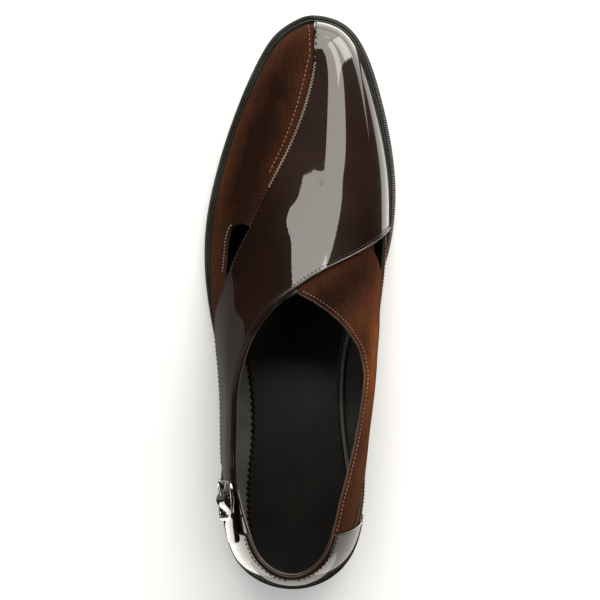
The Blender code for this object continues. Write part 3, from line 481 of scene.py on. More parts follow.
# colour, lighter colour, roughness, size and depth of the grain, coat, shine
plainLooks = {
    "lining": ((0.02, 0.019, 0.018), (0.04, 0.037, 0.034), 0.5, 900, 0.0001),
    "rawEdge": ((0.028, 0.012, 0.006), (0.066, 0.032, 0.015), 0.8, 1500, 0.00012),
    "sock": ((0.0034, 0.0025, 0.0021), (0.0066, 0.005, 0.0042), 0.46, 1100, 0.00005, 0.05, 0.22),
    "boardCloth": ((0.03, 0.029, 0.023), (0.052, 0.05, 0.041), 0.62, 1300, 0.0001),
    "lightThread": ((0.12, 0.095, 0.072), (0.24, 0.2, 0.16), 0.7, 2600, 0.00005),
    "tanThread": ((0.12, 0.055, 0.034), (0.23, 0.125, 0.085), 0.75, 2600, 0.00005),
    "darkThread": ((0.005, 0.0038, 0.0034), (0.012, 0.0085, 0.0072), 0.55, 2600, 0.00005),
}


def plainMaterial(name, colour, lighter, roughness, grainSize, grainDepth, coat=0.0, shine=0.5):
    material, tree, shader = nodesOf(name, {"Roughness": roughness, "Specular IOR Level": shine,
                                            "Coat Weight": coat, "Coat Roughness": 0.2})
    cloud = noise(tree, 60, 4, 0.6)
    feed(shader, "Base Color", ramp(tree, cloud, [(0.35, colour), (0.7, lighter)]))
    pores = add(tree, "ShaderNodeTexVoronoi", Vector=objectPlace(tree), Scale=grainSize)
    feed(shader, "Normal", bump(tree, pores.outputs["Distance"], grainDepth, 0.6))
    return material


def metalMaterial():
    material, tree, shader = nodesOf("brightMetal", {"Base Color": (0.82, 0.81, 0.79, 1), "Metallic": 1.0})
    rough = ramp(tree, noise(tree, 700, 4, 0.6), [(0.3, (0.1, 0.1, 0.1)), (0.8, (0.26, 0.26, 0.26))])
    feed(shader, "Roughness", rough)
    return material


suede = suedeMaterial(suedeLook)
patent = patentMaterial(patentLook)
lining, rawEdge, sockLeather, boardCloth, lightThread, tanThread, darkThread = (
    plainMaterial(name, *look) for name, look in plainLooks.items())
brightMetal = metalMaterial()
print("materials ready")

# suede upper with its lining; lines are run and around, heel 0 to toe 1
upper = {
    # run of the collar's front end, where the strap's dark leather ends too
    "throat": 0.517,
    "toplineOuter": [
        (0.0, 0.316), (0.06, 0.314), (0.108, 0.306), (0.138, 0.296), (0.167, 0.28), (0.196, 0.262),
        (0.222, 0.25), (0.25, 0.25), (0.3, 0.256), (0.342, 0.259), (0.367, 0.266), (0.4, 0.29), (0.43, 0.317),
        (0.458, 0.35), (0.483, 0.392), (0.504, 0.437), (0.517, 0.48), (1.0, 0.5),
    ],
    "toplineInner": [
        (0.0, 0.684), (0.06, 0.682), (0.12, 0.682), (0.183, 0.69), (0.229, 0.71), (0.283, 0.742),
        (0.338, 0.758), (0.379, 0.764), (0.404, 0.758), (0.437, 0.726), (0.462, 0.678), (0.483, 0.617),
        (0.5, 0.55), (0.517, 0.48), (1.0, 0.5),
    ],
    # run, edge nearer the sole, edge nearer the top; equal where the wall is whole
    "cutOuter": [
        (0.0, 0.15, 0.15), (0.2, 0.095, 0.095), (0.217, 0.078, 0.12), (0.25, 0.071, 0.128),
        (0.3, 0.076, 0.133), (0.35, 0.09, 0.14), (0.4, 0.108, 0.15), (0.44, 0.125, 0.152),
        (0.47, 0.142, 0.166), (0.5, 0.165, 0.195), (0.542, 0.188, 0.238), (0.571, 0.194, 0.262),
        (0.59, 0.194, 0.278), (0.604, 0.199, 0.29), (0.616, 0.21, 0.294), (0.625, 0.25, 0.25),
        (1.0, 0.25, 0.25),
    ],
    "cutInner": [
        (0.0, 0.85, 0.85), (0.135, 0.8, 0.8), (0.16, 0.865, 0.808), (0.2, 0.897, 0.825), (0.24, 0.915, 0.845),
        (0.3, 0.92, 0.86), (0.36, 0.92, 0.866), (0.42, 0.912, 0.864), (0.47, 0.903, 0.864),
        (0.5, 0.895, 0.866), (0.529, 0.887, 0.866), (0.546, 0.882, 0.846), (0.567, 0.88, 0.812),
        (0.585, 0.882, 0.785), (0.6, 0.878, 0.79), (0.614, 0.84, 0.84), (1.0, 0.75, 0.75),
    ],
    "stations": 230,
    # more stations where the lines turn fast: run from and to, how many
    "closer": [(0.495, 0.52, 12), (0.605, 0.626, 10), (0.196, 0.22, 10), (0.132, 0.165, 10)],
    "columns": 22,
    "edgeRadius": 0.0011,
    # an edge is rounded in full where its gap is wider than this turn
    "fullGap": 0.02,
}


def cutEdges(rows, at):
    low = easeThrough(rows, at)
    gap = np.array([(run, high - lowAt) for run, lowAt, high in rows])
    return low, low + easeThrough(gap, at)


def leatherBand(piece, run, low, high, rollLow, rollHigh, outerSlot=0):
    # one band of the wall, its two faces meeting in the middle where an edge is free
    wall, lengths = last["wall"], roundLength(run, (low + high) / 2)
    around, rise = columnsAcross(low, high, lengths, upper["edgeRadius"], upper["columns"])
    roll = np.where(np.arange(len(rise)) < len(rise) // 2, rollLow[:, None], rollHigh[:, None])
    sunk = wall / 2 * (1 - rise) * roll
    runGrid = np.repeat(run[:, None], around.shape[1], 1)
    outer = skin(runGrid, around, -sunk, creases["upper"])
    inner = skin(runGrid, around, sunk - wall, creases["upper"])
    lengthwise = run[:, None] * runMetres
    # the outer face's tone is the suede's painted light and shade
    piece.grid(outer, lengthwise, outerSlot, creaseHeight(runGrid, around, suedePaintedShading))
    piece.grid(inner, lengthwise, 1)
    for side in (0, -1):
        piece.strip(outer[:, side], inner[:, side], outerSlot)


def buildUpper():
    ends = [row[0] for table in ("cutOuter", "cutInner") for row in upper[table]]
    closer = [np.linspace(*stretch) for stretch in upper["closer"]]
    run = np.unique(np.round(np.concatenate([np.linspace(0, 1, upper["stations"]), ends, *closer]), 6))
    outerLow, outerHigh = cutEdges(upper["cutOuter"], run)
    innerLow, innerHigh = cutEdges(upper["cutInner"], run)
    top = easeThrough(upper["toplineOuter"], run)
    innerTop = np.where(run < upper["throat"], easeThrough(upper["toplineInner"], run), top)
    gapOuter, gapInner, gapTop = (np.clip(gap / upper["fullGap"], 0, 1) for gap in (
        outerHigh - outerLow, innerLow - innerHigh, innerTop - top))
    none = np.zeros(run.shape)
    piece = Piece()
    leatherBand(piece, run, none, outerLow, none, gapOuter)
    wing = np.searchsorted(run, upper["throat"])
    for part, slot in ((np.s_[:wing + 1], 2), (np.s_[wing:], 0)):
        leatherBand(piece, run[part], outerHigh[part], top[part], gapOuter[part], gapTop[part], slot)
    leatherBand(piece, run, innerTop, innerHigh, gapTop, gapInner)
    leatherBand(piece, run, innerLow, none + 1, gapInner, none)
    piece.build("suedeUpper", [suede, lining, patent], ["upper"])


# patent overlays; base is how far their underside stands off the suede
overlay = {"thickness": 0.0012, "base": 0.0004, "edgeRadius": 0.001}

panel = {
    # run, outer edge, rear edge
    "edges": [
        (0.128, 0.172, 0.226), (0.132, 0.158, 0.236), (0.142, 0.152, 0.24), (0.232, 0.15, 0.241),
        (0.25, 0.138, 0.25), (0.3, 0.127, 0.256), (0.342, 0.132, 0.259), (0.367, 0.136, 0.266),
        (0.4, 0.136, 0.29), (0.43, 0.132, 0.317), (0.458, 0.133, 0.35), (0.483, 0.148, 0.392),
        (0.504, 0.178, 0.437), (0.517, 0.196, 0.474), (0.53, 0.21, 0.513), (0.542, 0.223, 0.557),
        (0.554, 0.235, 0.606), (0.571, 0.251, 0.682), (0.59, 0.27, 0.773), (0.604, 0.284, 0.848),
        (0.614, 0.294, 0.925), (0.625, 0.302, 0.992), (0.667, 0.334, 0.992), (0.704, 0.366, 0.992),
        (0.742, 0.398, 0.992), (0.796, 0.434, 0.992), (0.842, 0.459, 0.992), (0.896, 0.483, 0.992),
        (0.95, 0.496, 0.992), (1.0, 0.5, 0.992),
    ],
    # how the strap climbs over the buckle's folded strap, shares of the wall
    "lift": [
        (0.128, 0.85), (0.155, 0.82), (0.165, 0.68), (0.1755, 0.68), (0.1795, 0.9), (0.1855, 1.42),
        (0.1915, 2.15), (0.1975, 2.4), (0.2035, 2.15), (0.2095, 1.3), (0.2155, 0.42), (0.22, 0.06),
        (0.245, 0.0), (1.0, 0.0),
    ],
    "start": 0.128,
    "stations": 300,
    "closer": (0.175, 0.222, 24),
    # how much run the leather needs to turn over at the strap's end and at the toe
    "turnOver": (0.0032, 0.004),
    "columns": 34,
}


def turnedEdge(away):
    # how far the overlay has risen this far in from its cut end
    share = np.clip(away / overlay["edgeRadius"], 0, 1)
    return np.sqrt(1 - (1 - share) ** 2)


def buildPanel():
    run = np.concatenate([np.linspace(panel["start"], 1, panel["stations"]), [row[0] for row in panel["edges"]],
                          np.linspace(*panel["closer"])])
    run = closeRows(np.unique(np.round(run, 6)), *panel["turnOver"])
    low, high = easeThrough(panel["edges"], run, 1), easeThrough(panel["edges"], run, 2)
    middle = (low + high) / 2
    around, rise = columnsAcross(low, high, roundLength(run, middle), overlay["edgeRadius"], panel["columns"])
    step = np.linalg.norm(np.diff(section(run, middle), axis=0), axis=-1)
    fromStart = np.concatenate([[0], np.cumsum(step)])
    rowRise = turnedEdge(np.minimum(fromStart, fromStart[-1] - fromStart))
    base = overlay["base"] + (easeThrough(panel["lift"], run) * last["wall"])[:, None]
    height = overlay["thickness"] * np.minimum(rise[None, :], rowRise[:, None])
    run = run[:, None]
    piece = Piece()
    for slot, away in enumerate((base + height, base)):
        piece.grid(skin(run, around, away, creases["panel"]), run * runMetres, slot)
    piece.build("patentPanel", [patent, lining], ["cross_panel"])


# frontLow and frontHigh are the runs of its front edge; width is for the turn of its long edges only
counter = {
    "frontLow": 0.18, "frontHigh": 0.137, "foot": 0.007,
    "rows": 30, "columns": 70, "width": 0.05, "turnOver": 0.022,
}


def buildCounter():
    height, rise = columnsAcross(np.array([0.0]), np.array([1.0]), np.array([counter["width"]]),
                                 overlay["edgeRadius"], counter["rows"])
    across = closeRows(np.linspace(-1, 1, counter["columns"]), counter["turnOver"], counter["turnOver"])[:, None]
    run = across * (counter["frontLow"] + (counter["frontHigh"] - counter["frontLow"]) * height)
    top = np.where(run < 0, 1 - easeThrough(upper["toplineInner"], -run), easeThrough(upper["toplineOuter"], run))
    around = counter["foot"] + (top - counter["foot"]) * height
    rowRise = turnedEdge((1 - np.abs(across)) * counter["frontLow"] * runMetres)
    thick = overlay["thickness"] * np.minimum(rise, rowRise)
    piece = Piece()
    piece.grid(skin(run, around, overlay["base"] + thick))
    piece.grid(skin(run, around, overlay["base"]), slot=1)
    piece.build("patentCounter", [patent, lining], ["heel_counter"])


buildUpper()
buildPanel()
buildCounter()
print("leather laid on the last")


def tube(piece, centres, radius, sides=18, closed=False, slot=0):
    centres = np.asarray(centres)
    radius = np.broadcast_to(radius, len(centres))
    tangent = np.roll(centres, -1, 0) - np.roll(centres, 1, 0) if closed else np.gradient(centres, axis=0)
    tangent /= np.linalg.norm(tangent, axis=1, keepdims=True)
    upright = abs(tangent[0][2]) > 0.9
    side = np.cross(tangent[0], (1.0, 0.0, 0.0) if upright else (0.0, 0.0, 1.0))
    turn = np.linspace(0, 2 * np.pi, sides + 1)[:, None]
    rings = []
    for centre, way, size in zip(centres, tangent, radius):
        side = side - way * side.dot(way)
        side /= np.linalg.norm(side)
        rings.append(centre + size * (np.cos(turn) * side + np.sin(turn) * np.cross(way, side)))
    if closed:
        shift = np.argmin(np.linalg.norm(rings[0][:-1] - rings[-1][0], axis=1))
        first = np.roll(rings[0][:-1], -shift, 0)
        rings.append(np.concatenate([first, first[:1]]))
    else:
        rings = [np.repeat(centres[:1], sides + 1, 0), *rings, np.repeat(centres[-1:], sides + 1, 0)]
    piece.grid(np.stack(rings), slot=slot)


# threads, bound edges and rolled lips, all laid along the edge lines of the leather
overPanel = overlay["base"] + overlay["thickness"]
seams = {
    "thread": 0.0003,
    # how much of the way between two holes shows thread, and how far the looped row swings
    "share": 0.66,
    "chainShare": 0.98,
    "swing": 0.0016,
    # thickness of these rows, shares of the thread
    "thicker": {"holes": 1.7, "chain": 0.8},
    # line, metres off it, run from and to, height on the last, metres between stitches, thread
    "rows": [
        ("front", -0.0031, 0.7, 0.928, 0.0001, 0.00235, "tan"),
        ("toeSuede", 0, 0, 1, 0.0001, 0.00235, "tan"),
        ("toePatent", 0, 0, 1, overPanel, 0.0029, "holes"),
        ("front", 0.0004, 0.68, 0.932, overPanel, 0.0009, "chain"),
        ("front", 0.001, 0.25, 0.685, overPanel, 0.0023, "dark"),
        ("rear", -0.0022, 0.236, 0.612, overPanel, 0.0021, "dark"),
        ("innerTop", 0.0016, 0.142, 0.512, 0.0001, 0.00205, "tan"),
        ("outerTop", -0.0022, 0.01, 0.135, overPanel, 0.0021, "dark"),
        ("innerTop", 0.0022, 0.01, 0.135, overPanel, 0.0021, "dark"),
        ("outerCut", -0.0012, 0.545, 0.618, 0.0001, 0.0016, "light"),
        ("innerCut", 0.0014, 0.165, 0.604, 0.0001, 0.0019, "light"),
    ],
    # across the toe the seam turns down beside the tip: run and around
    "toeSuede": [
        (0.933, 0.458), (0.955, 0.442), (0.97, 0.41), (0.98, 0.355), (0.985, 0.29), (0.9865, 0.22),
        (0.987, 0.12),
    ],
    "toePatent": [
        (0.934, 0.503), (0.958, 0.513), (0.98, 0.545), (0.989, 0.6), (0.9935, 0.7), (0.995, 0.8),
        (0.9955, 0.92),
    ],
    # line, metres off it, run from and to, height on the last, radius, what it is made of
    "cords": [
        ("rear", -0.0006, 0.135, 0.616, overPanel, 0.00055, "patent"),
        ("rear", -0.0016, 0.135, 0.52, overPanel - 0.0002, 0.00028, "patent"),
        ("innerTop", 0.0, 0.135, 0.516, -0.0009, 0.0005, "bound"),
        ("outerTop", 0.0002, 0.001, 0.137, 0.0002, 0.00042, "bound"),
        ("innerTop", -0.0002, 0.001, 0.137, 0.0002, 0.00042, "bound"),
    ],
    "cordPitch": 0.0012,
    "samples": 600,
}


def edgeLine(name, run):
    if name in ("front", "rear"):
        return easeThrough(panel["edges"], run, 1 if name == "front" else 2)
    if name in ("innerTop", "outerTop"):
        return easeThrough(upper["toplineInner" if name == "innerTop" else "toplineOuter"], run)
    return easeThrough(upper["cutOuter" if name == "outerCut" else "cutInner"], run)


def besideLine(name, offset, start, end, spacing):
    # evenly spaced places beside an edge line, moved square to it
    if name.startswith("toe"):
        points = np.array(seams[name])
        share = np.linspace(0, len(points) - 1, seams["samples"])
        run, around = (np.interp(share, np.arange(len(points)), points[:, i]) for i in (0, 1))
    else:
        run = np.linspace(start, end, seams["samples"])
        around = edgeLine(name, run)
    perRun, perRound = runLength(run, around), roundLength(run, around)
    along, across = np.gradient(run) * perRun, np.gradient(around) * perRound
    length = np.hypot(along, across)
    run, around = run - across / length * offset / perRun, around + along / length * offset / perRound
    way = np.concatenate([[0], np.cumsum(length[1:])])
    places = np.linspace(0, way[-1], max(2, int(way[-1] / spacing)))
    return np.interp(places, way, run), np.interp(places, way, around)


def sewRow(piece, run, around, away, slot, radius, share, rows):
    # one short spindle of thread between each two holes, half sunk in
    points, over = skin(run, around, away, rows), skin(run, around, away + 0.001, rows)
    turn = np.linspace(0, 2 * np.pi, 7)[None, :, None]
    swell = np.array([0.25, 0.85, 1.0, 0.85, 0.25])[:, None]
    sunk = 0.55
    for one, two, up in zip(points[:-1], points[1:], over - points):
        up = up / np.linalg.norm(up)
        side = np.cross(two - one, up)
        side /= np.linalg.norm(side)
        edge = (1 - share) / 2
        between = np.linspace(edge, 1 - edge, len(swell))[:, None]
        places = one + (two - one) * between + up * radius * (swell - sunk)
        ring = radius * (np.cos(turn) * side + np.sin(turn) * up)
        piece.grid(places[:, None] + ring * swell[:, None], slot=slot)


def sewShoe():
    threads = {"tan": tanThread, "light": lightThread, "dark": darkThread,
               "chain": lightThread, "holes": darkThread}
    piece = Piece()
    for name, offset, start, end, away, spacing, thread in seams["rows"]:
        run, around = besideLine(name, offset, start, end, spacing)
        if thread == "chain":
            # loops that swing over the edge and back
            wideRun, wideAround = besideLine(name, offset + seams["swing"], start, end, spacing)
            run[1::2], around[1::2] = wideRun[1:len(run):2], wideAround[1:len(run):2]
        rows = creases["panel" if away == overPanel else "upper"]
        radius = seams["thread"] * seams["thicker"].get(thread, 1)
        share = seams["chainShare" if thread == "chain" else "share"]
        sewRow(piece, run, around, away, list(threads).index(thread), radius, share, rows)
    piece.build("stitches", list(threads.values()))
    piece = Piece()
    for name, offset, start, end, away, radius, kind in seams["cords"]:
        run, around = besideLine(name, offset, start, end, seams["cordPitch"])
        rows = creases["panel" if name == "rear" else "upper"]
        tube(piece, skin(run, around, away, rows), radius, sides=8, slot=("patent", "bound").index(kind))
    piece.build("boundEdges", [patent, rawEdge])


sewShoe()
print("seams sewn")

# moulded rubber sole
sole = {
    # along, width of the rim outside the upper, outer and inner side
    "rim": [
        (0.0, 0.012, 0.012), (0.15, 0.01, 0.01), (0.35, 0.012, 0.012), (0.45, 0.018, 0.018),
        (0.55, 0.026, 0.024), (0.65, 0.031, 0.034), (0.75, 0.032, 0.036), (0.85, 0.033, 0.036),
        (0.94, 0.034, 0.035), (1.0, 0.034, 0.034),
    ],
    "border": 0.0058,
    # side from the tread up to the seat: share of the rim, share of the border, share of the thickness
    "side": [
        (0.0, 1.0, 0.14), (0.0, 1.0, 0.01), (0.0, 0.97, 0.0), (0.0, 0.27, 0.0), (0.0, 0.2, 0.015),
        (0.0, 0.14, 0.05), (0.0, 0.11, 0.1), (0.0, 0.1, 0.29), (0.0, 0.13, 0.31), (0.0, 0.2, 0.325),
        (0.0, 0.21, 0.36), (0.0, 0.2, 0.4), (0.0, 0.13, 0.415), (0.0, 0.08, 0.44), (0.0, 0.08, 0.67),
        (0.0, 0.06, 0.7), (0.0, 0.01, 0.73), (0.0, 0.0, 0.76), (0.0, 0.0, 0.93), (0.01, 0.0, 0.965),
        (0.04, 0.0, 0.992), (0.09, 0.0, 1.0), (0.5, 0.0, 1.0), (0.54, 0.0, 0.985), (0.565, 0.0, 0.92),
        (0.59, 0.0, 0.9), (0.69, 0.0, 0.9), (0.715, 0.0, 0.93), (0.735, 0.0, 1.02), (0.76, 0.0, 1.05),
        (0.91, 0.0, 1.05), (0.94, 0.0, 1.03), (0.97, 0.0, 1.0),
    ],
    "stations": 260, "heelStations": 80, "heelColumns": 31, "padRows": 5, "padColumns": 9,
    # rings of the side that carry the wheel marks
    "wheeled": (20, 23),
    # heel from its tread up, with three grooves: share of the border, share of the height
    "heelSide": [
        (1.0, 0.063), (1.0, 0.003), (0.97, 0.0), (0.26, 0.0), (0.19, 0.012), (0.16, 0.05), (0.16, 0.185),
        (0.18, 0.2), (0.26, 0.212), (0.27, 0.24), (0.26, 0.268), (0.17, 0.28), (0.15, 0.295), (0.15, 0.445),
        (0.17, 0.46), (0.25, 0.472), (0.26, 0.5), (0.25, 0.528), (0.16, 0.54), (0.14, 0.555), (0.14, 0.705),
        (0.16, 0.72), (0.24, 0.732), (0.25, 0.76), (0.24, 0.788), (0.13, 0.8), (0.11, 0.815), (0.11, 1.15),
    ],
    "breast": 0.292,
    "breastSag": 0.023,
    # front and back of each row of pads, then the lines between the pads
    "forefootPads": [
        (0.911, 0.867, 0.015, 0.193), (0.863, 0.823, -0.071, 0.093, 0.262),
        (0.817, 0.775, -0.105, 0.078, 0.272), (0.77, 0.727, -0.135, 0.064, 0.28),
        (0.722, 0.679, -0.158, 0.051, 0.283), (0.676, 0.631, -0.158, 0.035, 0.266),
        (0.626, 0.582, -0.155, 0.02, 0.245), (0.578, 0.538, -0.153, 0.196),
    ],
    "heelPads": [(0.244, 0.208, -0.163, 0.068), (0.204, 0.159, -0.163, 0.068), (0.155, 0.106, -0.163, 0.068)],
    # front and back of the pads without splits, rows of points, whether it stands on the floor
    "wholePads": [(0.972, 0.917, 20, False), (0.531, 0.492, 10, False), (0.1, 0.028, 24, True)],
    # lines under the waist, metres from the middle of the sole
    "waistLines": [
        [(-0.036, -0.0083), (-0.0318, -0.021), (-0.0294, -0.0353), (-0.0315, -0.049), (-0.034, -0.06)],
        [(0.0243, -0.0083), (0.019, -0.021), (0.0162, -0.0353), (0.018, -0.049), (0.0205, -0.06)],
    ],
    "waistFrame": (-0.0201, 0.0063, -0.0415, -0.0306),
    "waistBoss": (0.0062, -0.0171, 0.0045),
    "lineRadius": 0.0005,
    "padGap": 0.0014,
    "padDepth": 0.00226,
    "clean": (0.013, 0.0138, 0.0122),
    "worn": (0.036, 0.038, 0.033),
    # metres between the marks of the wheel and between the lines of the hatching, and how deep both look
    "wheelPitch": 0.00125,
    "hatchPitch": 0.0021,
    "markDepth": 0.0004,
}


def rubberMaterial(look):
    material, tree, shader = nodesOf("rubber", {"Roughness": 0.52, "Specular IOR Level": 0.45})
    colour = ramp(tree, noise(tree, 70, 5, 0.65), [(0.4, look["clean"]), (0.75, look["worn"])])
    feed(shader, "Base Color", colour)
    feed(shader, "Normal", bump(tree, noise(tree, 1400, 3, 0.7), 0.00006, 0.6))
    return material


def wave(tree, value, pitch):
    return calculate(tree, "SINE", calculate(tree, "MULTIPLY", value, 2 * math.pi / pitch))


def wheeledMaterial(look):
    # the rim on the inner side is rolled with a toothed wheel
    material, tree, shader = nodesOf("wheeledRubber", {"Roughness": 0.5})
    along = splitUp(tree, add(tree, "ShaderNodeUVMap", uv_map="lengths").outputs["UV"])[0]
    teeth = wave(tree, along, look["wheelPitch"])
    # colour lighter on the raised wheel marks and darker between them, in patches
    lighterOnTeeth = calculate(tree, "MULTIPLY", calculate(tree, "ADD", teeth, 0.6), noise(tree, 120, 4, 0.6))
    colour = ramp(tree, lighterOnTeeth, [(0.1, (0.02, 0.02, 0.02)), (0.7, (0.115, 0.112, 0.106))])
    feed(shader, "Base Color", colour)
    feed(shader, "Normal", bump(tree, teeth, look["markDepth"], 0.8))
    return material


def treadMaterial(look):
    material, tree, shader = nodesOf("treadRubber", {"Base Color": (*look["worn"], 1), "Roughness": 0.6})
    x, y = splitUp(tree, objectPlace(tree))
    hatch = [wave(tree, calculate(tree, sign, x, y), look["hatchPitch"]) for sign in ("ADD", "SUBTRACT")]
    feed(shader, "Normal", bump(tree, calculate(tree, "MAXIMUM", *hatch), look["markDepth"], 0.7))
    return material


rubber, wheeledRubber, treadRubber = rubberMaterial(sole), wheeledMaterial(sole), treadMaterial(sole)


def raised(flat, height):
    return np.concatenate([flat, np.asarray(height)[..., None]], axis=-1)


def buildSole(piece):
    run = np.linspace(0, 1, sole["stations"])
    along = np.interp(run, outlineRun, alongRows)
    rimRows = np.array(sole["rim"])
    ends = []
    for side in (0, 1):
        rim = np.interp(along, rimRows[:, 0], rimRows[:, side + 1]) * last["ballWidth"]
        rings = []
        for rimShare, borderShare, height in sole["side"]:
            flat = edgeOf(run, rim * rimShare + sole["border"] * borderShare, side)[0]
            y = flat[..., 1]
            rings.append(raised(flat, ground(y) + height * (seat(y) - ground(y))) - soleMiddle)
        grid = np.stack(rings, 1)
        if side:
            first, final = sole["wheeled"]
            piece.grid(grid[:, :first + 1])
            piece.grid(grid[:, first:final + 1], slot=1)
            piece.grid(grid[:, final:])
        else:
            piece.grid(grid)
        ends.append((rings[0], rings[-1]))
    piece.strip(ends[0][0], ends[1][0], 2)
    piece.strip(ends[0][1], ends[1][1])


def buildHeel(piece):
    length = last["soleLength"]
    across = np.linspace(0, 1, sole["heelColumns"])[:, None]
    # the breast is drawn in toward its middle, and the pull fades fast toward the back
    fade = 3
    sag = 4 * sole["breastSag"] * length * across * (1 - across)
    heel = []
    for border, height in sole["heelSide"]:
        inset = sole["border"] * border
        breast = sole["breast"] * length - max(0, inset - sole["border"] / 4)
        run = np.linspace(0, np.interp(breast / length, alongRows, outlineRun), sole["heelStations"])
        one, two = (edgeOf(run, inset + 0 * run, side)[0][:, None] for side in (0, 1))
        flat = one + (two - one) * across
        flat[..., 1] -= sag[:, 0] * ((run / run[-1]) ** fade)[:, None]
        heel.append(raised(flat, height * ground(flat[..., 1])) - soleMiddle)
    for edge in (np.s_[:, 0], np.s_[:, -1], -1):
        piece.grid(np.stack([ring[edge] for ring in heel], 1))
    piece.grid(heel[0])


def treadEdge(y, side):
    run = np.linspace(0, 1, 400)
    points = edgeOf(run, sole["border"] + sole["padGap"] + 0 * run, side)[0]
    order = np.argsort(points[:, 1])
    return np.interp(y, points[order, 1], points[order, 0])


def buildTread(piece):
    def pad(front, back, left, right, rows, onFloor):
        # left and right are a share of the ball width, or None at the sole's own edge
        y = np.linspace(back, front, rows) * last["soleLength"]
        half = sole["padGap"] / 2
        one = treadEdge(y, 0) if left is None else left * last["ballWidth"] + half + 0 * y
        two = treadEdge(y, 1) if right is None else right * last["ballWidth"] - half + 0 * y
        x = one[:, None] + (two - one)[:, None] * np.linspace(0, 1, sole["padColumns"])
        flat = np.stack(np.broadcast_arrays(x, y[:, None]), -1)
        low = np.zeros(x.shape) if onFloor else ground(flat[..., 1])
        under, over = raised(flat, low) - soleMiddle, raised(flat, low + sole["padDepth"]) - soleMiddle
        piece.grid(under, slot=2)
        for edge in (0, -1, np.s_[:, 0], np.s_[:, -1]):
            piece.strip(under[edge], over[edge])

    for rows, onFloor in ((sole["forefootPads"], False), (sole["heelPads"], True)):
        for front, back, *splits in rows:
            for left, right in zip([None, *splits], [*splits, None]):
                pad(front, back, left, right, sole["padRows"], onFloor)
    for front, back, rows, onFloor in sole["wholePads"]:
        pad(front, back, None, None, rows, onFloor)


def buildWaist(piece):
    def line(points, closed=False):
        points = np.array(points) + soleMiddle[:2]
        tube(piece, raised(points, ground(points[:, 1])) - soleMiddle, sole["lineRadius"], sides=8, closed=closed)

    for rows in sole["waistLines"]:
        rows = np.array(rows)
        y = np.linspace(rows[0, 1], rows[-1, 1], 30)
        line(np.stack([np.interp(y, rows[::-1, 1], rows[::-1, 0]), y], 1))
    left, right, back, front = sole["waistFrame"]
    corners = np.array([(left, back), (right, back), (right, front), (left, front), (left, back)])
    for one, two in zip(corners, corners[1:]):
        line(one + (two - one) * np.linspace(0, 1, 8)[:, None])
    x, y, radius = sole["waistBoss"]
    turn = np.linspace(0, 2 * np.pi, 41)[:-1]
    for share in (1.0, 0.6):
        line(np.stack([x + share * radius * np.cos(turn), y + share * radius * np.sin(turn)], 1), closed=True)


soleParts = Piece()
buildSole(soleParts)
buildHeel(soleParts)
buildTread(soleParts)
buildWaist(soleParts)
soleParts.build("rubberSole", [rubber, wheeledRubber, treadRubber], ["outsole"])
print("sole moulded")

insole = {
    "thickness": 0.003,
    "stations": 300, "columns": 41, "sockStations": 1500, "sockColumns": 25,
    # inset and height, shares of the thickness
    "side": [(0.0, 0.0), (0.0, 0.7), (0.05, 0.85), (0.15, 0.95), (0.35, 1.0)],
    # how deep the middle is hollowed, and how round the hollow is
    "dish": (0.0009, 0.7),
    "sockThickness": 0.0005,
    # metres from the wall to the sock's widest line, its inner edge as a share of the width, where it ends
    "sockInset": 0.0012,
    "sockInner": 0.985,
    "sockRun": (0.004, 0.996),
    # run and share of the width where the sock's pinked outer edge lies
    "sockEdge": [
        (0.0, 0.05), (0.1, 0.08), (0.2, 0.11), (0.3, 0.145), (0.4, 0.13), (0.5, 0.06), (0.75, 0.03),
        (1.0, 0.03),
    ],
    "pinkPitch": 0.0032,
    "pinkDepth": 0.0013,
}


def insoleEdge(run, side, inset):
    values = cubicThrough(lastKnots, lastValues, run)
    foot = values[..., 3 + 4 * side] + last["wall"] + 2 * last["gap"]
    return edgeOf(run, foot + inset, side)[0]


def dished(share):
    depth, roundness = insole["dish"]
    return depth * np.sin(math.pi * np.clip(share, 0, 1)) ** roundness


def buildInsole():
    run = np.linspace(0, 1, insole["stations"])
    rings = [[], []]
    for inset, height in insole["side"]:
        for side in (0, 1):
            flat = insoleEdge(run, side, inset * insole["thickness"])
            top = seat(flat[..., 1]) + last["gap"] + height * insole["thickness"]
            rings[side].append(raised(flat, top) - soleMiddle)
    piece = Piece()
    for side in (0, 1):
        piece.grid(np.stack(rings[side], 1), slot=1)
    share = np.linspace(0, 1, insole["columns"])[:, None]
    one, two = rings[0][-1][:, None], rings[1][-1][:, None]
    top = one + (two - one) * share
    top[..., 2] -= dished(share[:, 0])
    piece.grid(top, slot=1)
    piece.build("insoleBoard", [rubber, boardCloth], ["insole"])

    run = np.linspace(*insole["sockRun"], insole["sockStations"])
    one, two = (insoleEdge(run, side, insole["sockInset"]) for side in (0, 1))
    saw = np.abs((run * runMetres / insole["pinkPitch"]) % 1 - 0.5) * 2
    narrowest = 0.02
    width = np.maximum(np.linalg.norm(two - one, axis=-1), narrowest)
    pinked = (easeThrough(insole["sockEdge"], run) + saw * insole["pinkDepth"] / width)[:, None]
    share = pinked + (insole["sockInner"] - pinked) * np.linspace(0, 1, insole["sockColumns"])
    flat = one[:, None] + (two - one)[:, None] * share[..., None]
    height = seat(flat[..., 1]) + last["gap"] + insole["thickness"] + insole["sockThickness"] - dished(share)
    sheet = raised(flat, height) - soleMiddle
    # its edges reach a little into the board
    drop = np.array([0, 0, insole["sockThickness"] * 1.2])
    piece = Piece()
    piece.grid(sheet)
    for edge in (0, -1):
        piece.strip(sheet[:, edge], sheet[:, edge] - drop)
    piece.build("insoleSock", [sockLeather])


buildInsole()
print("insole in")

